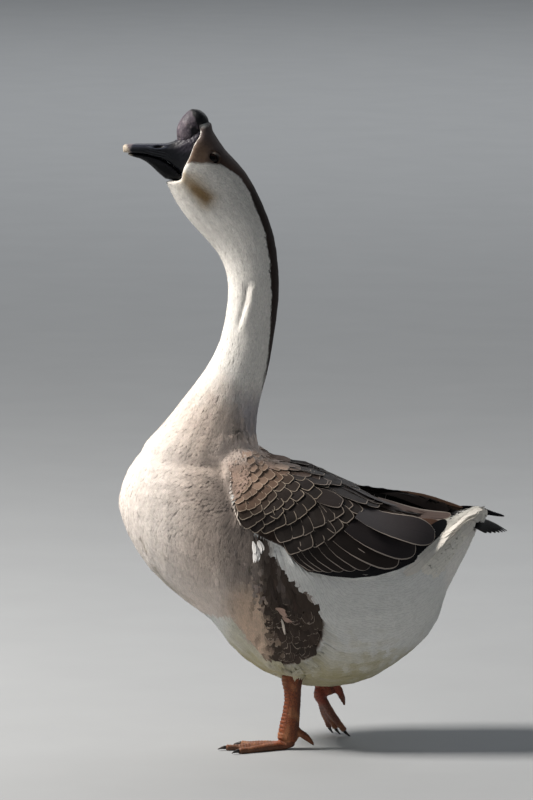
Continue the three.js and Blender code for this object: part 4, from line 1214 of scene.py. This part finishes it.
# The middle line of the stack of primary tips of each wing.
TIPS = {
    1: [(30, 165, 246), (28, 180, 257), (24, 202, 269), (19, 220, 275), (14, 233, 277)],
    -1: [(-50, 160, 257), (-46, 180, 267), (-40, 206, 275), (-33, 236, 277), (-26, 259, 272.5)],
}
for side, label, _ in SIDES:
    blades = Vanes()
    path = np.array(TIPS[side], float)
    run = run_of(path)
    for i in range(TIP_COUNT):
        at = np.array(LONG) * (run[-1] - 7 * i)
        line = np.stack([np.interp(at, run, path[:, k]) for k in range(3)], 1)
        line = line + np.array([side * 0.6 * i, 0, 1.7 * (i - 1.5)])
        line[:, 2] -= 1.2 * (i - 1.5) * fade(at, 0.5 * run[-1], run[-1])
        add_quill(blades, line, unit(np.array([side, 0, 0.55])), 8, rgb("1b1b21"), 0, 0, root=0.9,
                  tip=0.12, close=0.55, cup=0.05, rims=rgb("3c3a40"), rim=0.3, shade=1.0,
                  seed=i + 620)
    blades.make(f"primary_tips_{label}", blade_finish, 0.03, (f"primaries_{label}",), 0)

# ---- white tail coverts
# Soft white feathers of the rump and undertail, in rows that close over the lower rear edge of
# each wing from below, with one thick pale edge of them standing up on the left.

TUFT_EDGE = [(158, 238), (186, 258), (212, 277), (236, 294.5)]
RIDGE_EDGE = [(152, 233.5), *TUFT_EDGE[1:3], (230, 290)]
TUFT_WAY = unit(np.array([0.813, 0.583]))
TUFT_DOWN = np.array([0.583, -0.813])
TUFT_ROWS, TUFT_STEP = 12, 3.2
RIDGE_ROWS = 2


def add_row(vanes, side, draw, tips, bend, length, spread, hue, width, low, high, **look):
    """One row of white coverts that end at tips of the side view."""
    way = unit(TUFT_WAY + draw.normal(0, bend, tips.shape))
    long = length * draw.uniform(1 - spread, 1 + spread, len(tips))
    lines, normals = from_tips(tips, way, side, long, BROAD, False)
    vanes.add(lines, normals, BROAD, width, varied(hue, 0.015, draw, len(tips)), low, high,
              columns=5, close=0.4, shade=1.0, **look)


for side, label, _ in SIDES:
    whites = Vanes()
    draw = np.random.default_rng(640)
    for row in range(TUFT_ROWS):
        tips = spaced(TUFT_EDGE, 3.6)[0] + TUFT_DOWN * TUFT_STEP * (TUFT_ROWS - 1 - row)
        tips = tips[tips[:, 0] < 209 + 0.7 * (tips[:, 1] - 257)]
        if len(tips):
            tips = tips + draw.normal(0, 0.4, tips.shape)
            add_row(whites, side, draw, tips, 0.025, 36, 0.15, "ece8de", 8, 0.4, 2.8 + 0.2 * row,
                    tip=0.12, fray=0.08, cup=0.06, seed=641 + row)
    contour(whites, lambda x, y, z, p: (x * side > 0) * (y > 186) * (z > 262)
            * (beside(p, TUFT_TOP) < 0), 3.4, 24, 8, SOFT, 680, high=1.4, low=0.6, fray=0.1,
            jitter=0.02, wander=0.06, crest=CREST, **LOCK)
    whites.make(f"white_coverts_{label}", contour_finish, 0.01)
    if side > 0:
        ridge = Vanes()
        for row in range(RIDGE_ROWS):
            tips = spaced(RIDGE_EDGE, 3)[0] + TUFT_DOWN * (4 - row)
            add_row(ridge, side, draw, tips, 0.02, 26, 0.1, "f6f0e6", 12, 3.6, 6.4 + 0.2 * row,
                    tip=0.15, fray=0.06, cup=0.02, roll=-0.55, seed=671 + row)
        ridge.make(f"white_edge_{label}", contour_finish, 0.01, soft=0)

# ---- leg cuffs
# Soft whitish feathers in four rings round the top of each shank, where it leaves the belly,
# rooted in the skin of the thigh and hanging down.

CUFF_TOP, CUFF_LONG = 118, 22
CUFF_OUT = 12.0                     # from the shank's axis
CUFF_RINGS, CUFF_COUNT = 4, 30
JOINED_LENGTH = 14                  # of the shank's upper end, from which its axis is taken

for side, label, _ in SIDES:
    shank = joined((f"shank_{label}",), 0)[0]
    middle = shank[shank[:, 2] > shank[:, 2].max() - JOINED_LENGTH].mean(0)
    cuff = Vanes()
    draw = np.random.default_rng(660)
    t = np.array(ROUND)
    spokes = np.arange(CUFF_COUNT) * 2 * math.pi / CUFF_COUNT
    for layer in range(CUFF_RINGS):
        turn = spokes + 0.1 * layer + draw.normal(0, 0.05, CUFF_COUNT)
        way = np.stack([np.cos(turn), np.sin(turn), 0 * turn], 1)
        out = CUFF_OUT - 0.6 * layer + 2.5 * np.sin(math.pi * t)
        out = out + draw.normal(0, 0.5, (CUFF_COUNT, 1))
        fall = CUFF_TOP - 4 * layer - CUFF_LONG * t * draw.uniform(0.8, 1.1, (CUFF_COUNT, 1))
        lines = way[:, None] * out[..., None] + middle * (1, 1, 0)
        lines[..., 2] = fall
        cuff.add(lines, np.repeat(way[:, None], len(t), 1), ROUND, 5.5,
                 varied("d9d0b2", 0.03, draw, CUFF_COUNT), 0, 0, columns=5, close=0.4, fray=0.15,
                 seed=661 + layer)
    cuff.make(f"thigh_feathers_{label}", contour_finish, 0.006)

# ---- eyes
# A wet dark brown eyeball on each side, deep in the head, behind two lids of bare skin that
# grow out of the face's own skin. The lower lid has a pale edge.

EYE_OPENING = (6.9, 5.5)            # half its length and height
EYE_SLANT = math.radians(36)        # its rear corner lies lower
LOWER_LID, UPPER_LID = 4.1, 1.4     # where round the eye the lids are palest
LID_REACH = 10.0                    # how far the lids reach from the eye's axis
LID_RADIUS = 8.45
SPOKES = 64                         # points round the eye
# Rings of a lid from its edge outward: how far out, and the height over its round.
LID_RINGS = (
    (0, -0.45), (0.02, 0.0), (0.07, 0.28), (0.16, 0.3), (0.3, 0.12), (0.42, 0.2), (0.56, 0.02),
    (0.7, 0.0), (0.84, 0.0), (1, -0.3),
)

eye_finish = finish("eye", grained(900.0, (0.5, 0.75), (0.02, 0.02)), 0.14)
lid_finish = finish("eyelid", grained(1500.0, (0.5, 0.75), (0.2, 0.5), (0.6, 0.0003)), 0.15)


def stained(tints, layers):
    """Colours with others laid over them: each a hex code or a colour, and its share."""
    for colour, share in layers:
        colour = rgb(colour) if isinstance(colour, str) else colour
        tints = tints + (colour - tints) * np.clip(share, 0, 1)[:, None]
    return tints


def ring_faces(rings, spokes):
    """Faces between rings of points, each ring closed on itself."""
    i, j = np.meshgrid(np.arange(rings - 1), np.arange(spokes), indexing="ij")
    k = (j + 1) % spokes
    return np.stack([i * spokes + j, i * spokes + k, (i + 1) * spokes + k, (i + 1) * spokes + j],
                    2).reshape(-1, 4)


def paleness(turn, middle, low, high):
    """The pale share of a lid's edge, highest at its middle."""
    return fade(np.abs((turn - middle + math.pi) % (2 * math.pi) - math.pi), low, high)


for side, label, _ in SIDES:
    centre = EYE * (side, 1, 1)
    axis = unit(np.array((side, -0.18, 0.05)))
    up = unit(np.cross(np.cross(axis, (0, 0, 1.0)), axis))
    turn = np.arange(SPOKES) * 2 * math.pi / SPOKES
    flat = np.cos(turn)[:, None] * np.cross(up, axis) + np.sin(turn)[:, None] * up
    bend = np.radians(np.concatenate([np.linspace(0.5, 60, 40), np.linspace(65, 179.5, 16)]))
    way = np.cos(bend)[:, None, None] * axis + np.sin(bend)[:, None, None] * flat
    ball = (centre + EYE_RADIUS * way).reshape(-1, 3)
    round_axis = np.repeat(np.degrees(bend), SPOKES)
    tints = stained(rgb("020202") + 0 * ball, (
        ("170c08", fade(round_axis, 24, 28)), ("060404", fade(round_axis, 36, 41)),
    ))
    make_piece(f"eyeball_{label}", ball, ring_faces(len(bend), SPOKES)[:, ::side], tints,
               eye_finish, (f"eye_{label}",))

    turned = turn if side > 0 else math.pi - turn
    slant = turned + EYE_SLANT
    opening = 1 / np.hypot(np.cos(slant) / EYE_OPENING[0], np.sin(slant) / EYE_OPENING[1])
    rings = []
    for reach, rise in LID_RINGS:
        s = opening + (LID_REACH - opening) * reach
        height = np.sqrt(np.maximum((LID_RADIUS + rise) ** 2 - np.minimum(s, 7.4) ** 2, 0.5))
        bulge = centre + height[:, None] * axis + s[:, None] * flat
        rest, normal = settle(bulge)
        share = fade(s, 6.0, 8.6)[:, None]
        rings.append(bulge + (rest + normal * (0.35 + rise) - bulge) * share)
    pale = np.maximum(0.75 * paleness(turned, LOWER_LID, 1.5, 0.8),
                      0.25 * paleness(turned, UPPER_LID, 1.0, 0.3))
    ring = np.repeat(np.arange(len(rings)), SPOKES)
    lids = np.concatenate(rings)
    tints = stained(rgb("150f0d") + 0 * lids, (
        ("5a473b", fade(ring, 3, 6)),
        ("b0a69a", np.tile(pale, len(rings)) * fade(np.abs(ring - 3.4), 2.2, 0.6)),
    ))
    make_piece(f"eyelids_{label}", lids, ring_faces(len(rings), SPOKES)[:, ::side], tints,
               lid_finish)

# ---- bill and knob
# A deep blue-black horny bill with a pale nail at its tip, slit nostrils, and fine lamellae on
# its sides, under the tall leathery knob of a gander.

# The line of the shut bill in the side view, from its tip to its corner.
TOMIUM = [
    (-198, 714), (-191, 714), (-178, 713), (-162, 709.5), (-148, 704.5), (-138, 696.5),
    (-130, 687.5), (-118, 683.5),
]
SHELL_VOXEL = 0.65
COARSE_VOXEL = 1.2


def fine(nodes, voxel, rounds, coarse, swell=0.53, puff=0.05):
    """Smooth closely-meshed copies of CAD solids, with their normals."""
    verts, tris = remeshed(*joined(nodes, 0.05), coarse)
    verts = smoothed(verts, tris, rounds, swell)
    verts, tris = remeshed(verts + puff * outward(verts, tris), tris, voxel)
    verts = smoothed(verts, tris, 3)
    return verts, tris, outward(verts, tris)


def cells(p, size, seed):
    """How near places lie to the border of their cell, among cells of about a size: 0 there."""
    base = np.floor(p / size).astype(int)
    best = np.full((2, len(p)), 1e9)
    for near in NEIGHBOURS:
        cell = base + near
        mix = (cell * (73856093, 19349663, 83492791)).sum(1) + seed * 7919
        spot = np.stack([np.abs(np.sin(mix * f)) * 43758.5453 % 1 for f in (.37, .71, .93)], 1)
        far = np.linalg.norm(p - (cell + 0.15 + 0.7 * spot) * size, axis=1)
        best[1] = np.minimum(best[1], np.maximum(best[0], far))
        best[0] = np.minimum(best[0], far)
    return (best[1] - best[0]) / size


horn_paint = grained(500.0, (0.7, 0.65), (0.3, 0.33), (0.5, 0.0004), 5.0, 0.6, (1800.0, 0.3))
horn_finish = finish("bill_horn", horn_paint, 0.24)

bill, bill_tris, bill_normals = fine(("bill_upper",), SHELL_VOXEL, 8, COARSE_VOXEL)
bill[:, 2] -= 1.4 * fade(bill[:, 2], 718, 727) * fade(bill[:, 1], -128, -150)
side_x, y, z = np.abs(bill[:, 0]), bill[:, 1], bill[:, 2]
over_edge = z - height_of(TOMIUM, y)
nail = 1 - np.hypot(side_x / 14.0, (y + 201.5) / 14.5)
nail_seam = np.exp(-(nail * 11 / 0.8) ** 2) * fade(z, 712, 715)
slit = np.hypot((y + 156.5) / 6.0, (z - 721.6 - 0.06 * (y + 156)) / 1.5)
nostril = fade(slit, 1.15, 0.5) * fade(side_x, 3, 5)
nostril_rim = np.exp(-((slit - 1.6) / 0.4) ** 2) * fade(side_x, 3, 5)
comb = (fade(over_edge, 1.0, 2.2) * fade(over_edge, 15, 9) * fade(y, -178, -164)
        * fade(y, -131, -139))
lamella = comb * np.sin((over_edge + 1.2 * np.sin(y / 7)) * 2 * math.pi / 2.7)
lip = np.exp(-((over_edge - 0.8) / 0.7) ** 2) * fade(y, -134, -142)
hide = ripple(bill, 2.2, 41, 16)
base_fold = fade(y, -142, -126) * fade(z, 712, 722)
relief = (-0.15 * nail_seam - 1.7 * nostril + 0.35 * nostril_rim + 0.28 * lamella + 0.25 * lip
          + 0.06 * hide + 0.25 * base_fold * ripple(bill, 2.6, 42, 14))
# The top of the bill is painted a lighter blue-grey, partly as painted sheen. The nostril slits and
# the grooves between the lamellae are painted near black as painted shade, and the rim below each
# nostril paler as a painted highlight.
tints = stained(rgb("101218") + 0 * bill, (
    ("2c2f3d", 0.6 * fade(z, 718, 724) * fade(y, -140, -150)), ("3a3640", 0.7 * base_fold),
    ("2c2f36", 0.5 * comb * fade(lamella, 0.2, 1)), ("08090c", fade(lamella, -0.3, -1)),
    ("665e62", 0.9 * fade(nail + 0.06 * hide, -0.12, 0.12)),
    ("b0a494", fade(-y - 0.5 * (z - 716) + 0.8 * hide, 189, 194) * fade(nail, -0.1, 0.1)),
    ("050507", nostril), ("3f4450", 0.8 * nostril_rim * fade(z, 722.5, 720)),
))
make_piece("bill_over", bill + bill_normals * relief[:, None], bill_tris, tints, horn_finish,
           ("bill_upper",))

jaw, jaw_tris, jaw_normals = fine(("bill_lower",), SHELL_VOXEL, 6, COARSE_VOXEL)
under = height_of(TOMIUM, jaw[:, 1]) - jaw[:, 2]
comb = fade(jaw[:, 1], -186, -176) * fade(jaw[:, 1], -128, -136) * fade(under, 9, 4)
teeth = comb * np.sin((jaw[:, 1] + 0.5 * under) * 2 * math.pi / 2.3)
tints = stained(rgb("0c0d0f") + 0 * jaw, (
    ("2a2a30", 0.6 * fade(teeth, 0, 1)), ("8c8278", fade(jaw[:, 1], -186, -191)),
))
relief = 0.16 * teeth + 0.07 * ripple(jaw, 2.2, 43, 16)
jaw_finish = finish("jaw_horn", horn_paint, 0.12)
make_piece("bill_under", jaw + jaw_normals * relief[:, None], jaw_tris, tints, jaw_finish,
           ("bill_lower",))


hide_finish = finish("knob_hide", grained(700.0, (0.6, 0.7), (0.3, 0.3), (0.7, 0.0004), 5.0, 0.65,
                                          cracks=(620.0, 0.4, 0.14, 0.35)), 0.25)
knob, knob_tris, knob_normals = fine(("knob",), SHELL_VOXEL, 14, COARSE_VOXEL, 0, 0.55)
knob[:, 2] -= 4.5 * fade(knob[:, 1], -109, -99) * fade(knob[:, 2], 764, 752)
y, z = knob[:, 1], knob[:, 2]
crease = cells(knob * (1, 1, 0.7), 3.4, 5)
wrinkled = fade(z, 742, 726) + 0.5 * fade(np.hypot(y + 115, z - 744), 13, 6)
cap = fade((y + 112) + 0.5 * (z - 752) + 2.0 * ripple(knob, 6, 44), -3, 1) * fade(z, 744, 750)
spot = fade(np.hypot(y + 113, (z - 739) * 0.8) + 2 * ripple(knob, 5, 45), 6.5, 3.5)
relief = -0.5 * wrinkled * fade(crease, 0.22, 0) + 0.25 * ripple(knob, 5, 46, 14)
# The knob's front is paler in patches, partly as a painted highlight, and its creases are painted
# dark as painted shade.
tints = stained(rgb("5f565f") + 0 * knob, (
    ("857a80", 0.6 * fade(ripple(knob, 4, 47, 14), -0.1, 0.7) * fade(y, -110, -118)),
    ("403b45", 0.7 * fade(ripple(knob, 7, 48, 14), 0, 0.8)), ("2a2730", 0.8 * fade(z, 727, 720)),
    ("928880", 0.75 * wrinkled * fade(crease, 0.1, 0.4) * fade(ripple(knob, 5, 49), -0.2, 0.5)),
    ("1d1b22", wrinkled * fade(crease, 0.16, 0.04)), ("0d0e13", cap), ("16161d", spot),
))
make_piece("knob_hide", knob + knob_normals * relief[:, None], knob_tris, tints, hide_finish,
           ("knob",))

# ---- legs and claws
# Bare orange-brown legs: a row of broad scutes down the front of each shank and along the top
# of each toe, small round scales elsewhere, and webs of soft wrinkled skin.

# Each leg: where its toes meet, between which heights the foot begins, the way the foot's top
# faces, and the colours of the shank, of its shaded back and of the foot.
LEGS = {
    "left": ((50, -6, 8), (20, 14), (0, 0, 1), ("904a24", "56301f", "7d4727")),
    "right": ((-50, 42, 50), (52, 44), (0, -1, 0), ("9a4b38", "6a3a30", "875848")),
}
SCUTE_STEP, RING_STEP = 4.6, 3.6    # from scute to scute on the shank and on the toes
PEBBLE = 3.0

scale_finish = finish("leg_scales", grained(300.0, (0.8, 0.6), (0.3, 0.38), (0.7, 0.0004), 5.0, 0.6,
                                            (1500.0, 0.1), (420.0, 0.6, 0.12, 0.3)), 0.45)
claw_finish = finish("claw_horn", grained(800.0, (0.6, 0.7), (0.2, 0.25), (0.4, 0.0002)), 0.6)

for label, (ball, begins, upward, hues) in LEGS.items():
    leg, leg_tris, leg_normals = fine((f"shank_{label}", f"foot_{label}"), 0.95, 8, 1.6)
    from_ball = np.linalg.norm(leg - np.array(ball, float), axis=1)
    foot = fade(from_ball, 12, 17) * fade(leg[:, 2], *begins)
    front = fade(-leg_normals[:, 1], 0.25, 0.6) * (1 - foot)
    top = fade(leg_normals @ upward, 0.45, 0.8) * foot
    uneven = ripple(leg, 9, 51)
    band = np.sin((leg[:, 2] + 0.8 * uneven) * 2 * math.pi / SCUTE_STEP)
    ring = np.sin((from_ball + 0.6 * uneven) * 2 * math.pi / RING_STEP)
    pebble = cells(leg, PEBBLE, 6)
    scute = front * band + top * ring
    rest = 1 - front - top
    relief = 0.3 * scute + 0.28 * rest * fade(pebble, 0, 0.3) + 0.12 * ripple(leg, 6, 52)
    base, dark, foot_hue = (rgb(hue) for hue in hues)
    # The back of each shank is painted darker as painted shade, and so are the grooves between the
    # scutes and round the small scales.
    tints = stained(base + 0 * leg, (
        (foot_hue, foot), (dark, 0.75 * fade(leg_normals[:, 1], 0.1, 0.7) * (1 - foot)),
        (dark * 0.6, 0.8 * (front + top) * fade(scute, -0.45, -1)),
        (dark * 0.7, 0.7 * rest * fade(pebble, 0.14, 0.02)),
        ("c58a5c", 0.35 * fade(uneven, 0.1, 0.9)), ("5c4a3a", 0.5 * fade(leg[:, 2], 9, 1)),
        ("5c4a3a", 0.35 * fade(ripple(leg, 12, 53), 0.2, 1) * foot),
    ))
    make_piece(f"leg_{label}", leg + leg_normals * (relief - 0.15)[:, None], leg_tris, tints,
               scale_finish, (f"shank_{label}", f"foot_{label}"))

    names = tuple(f"claw_{toe}_{label}" for toe in ("inner", "middle", "outer"))
    claws = [fine((name,), 0.45, 3, 0.6) for name in names]
    counts = np.cumsum([0] + [len(c[0]) for c in claws])
    places = np.concatenate([c[0] for c in claws])
    faces = np.concatenate([c[1] + n for c, n in zip(claws, counts)])
    tints = stained(rgb("1e1a19") + 0 * places, (
        ("6a5a50", 0.4 * fade(ripple(places, 3, 54), 0, 0.8)),
    ))
    make_piece(f"claws_{label}", places, faces, tints, claw_finish, names)
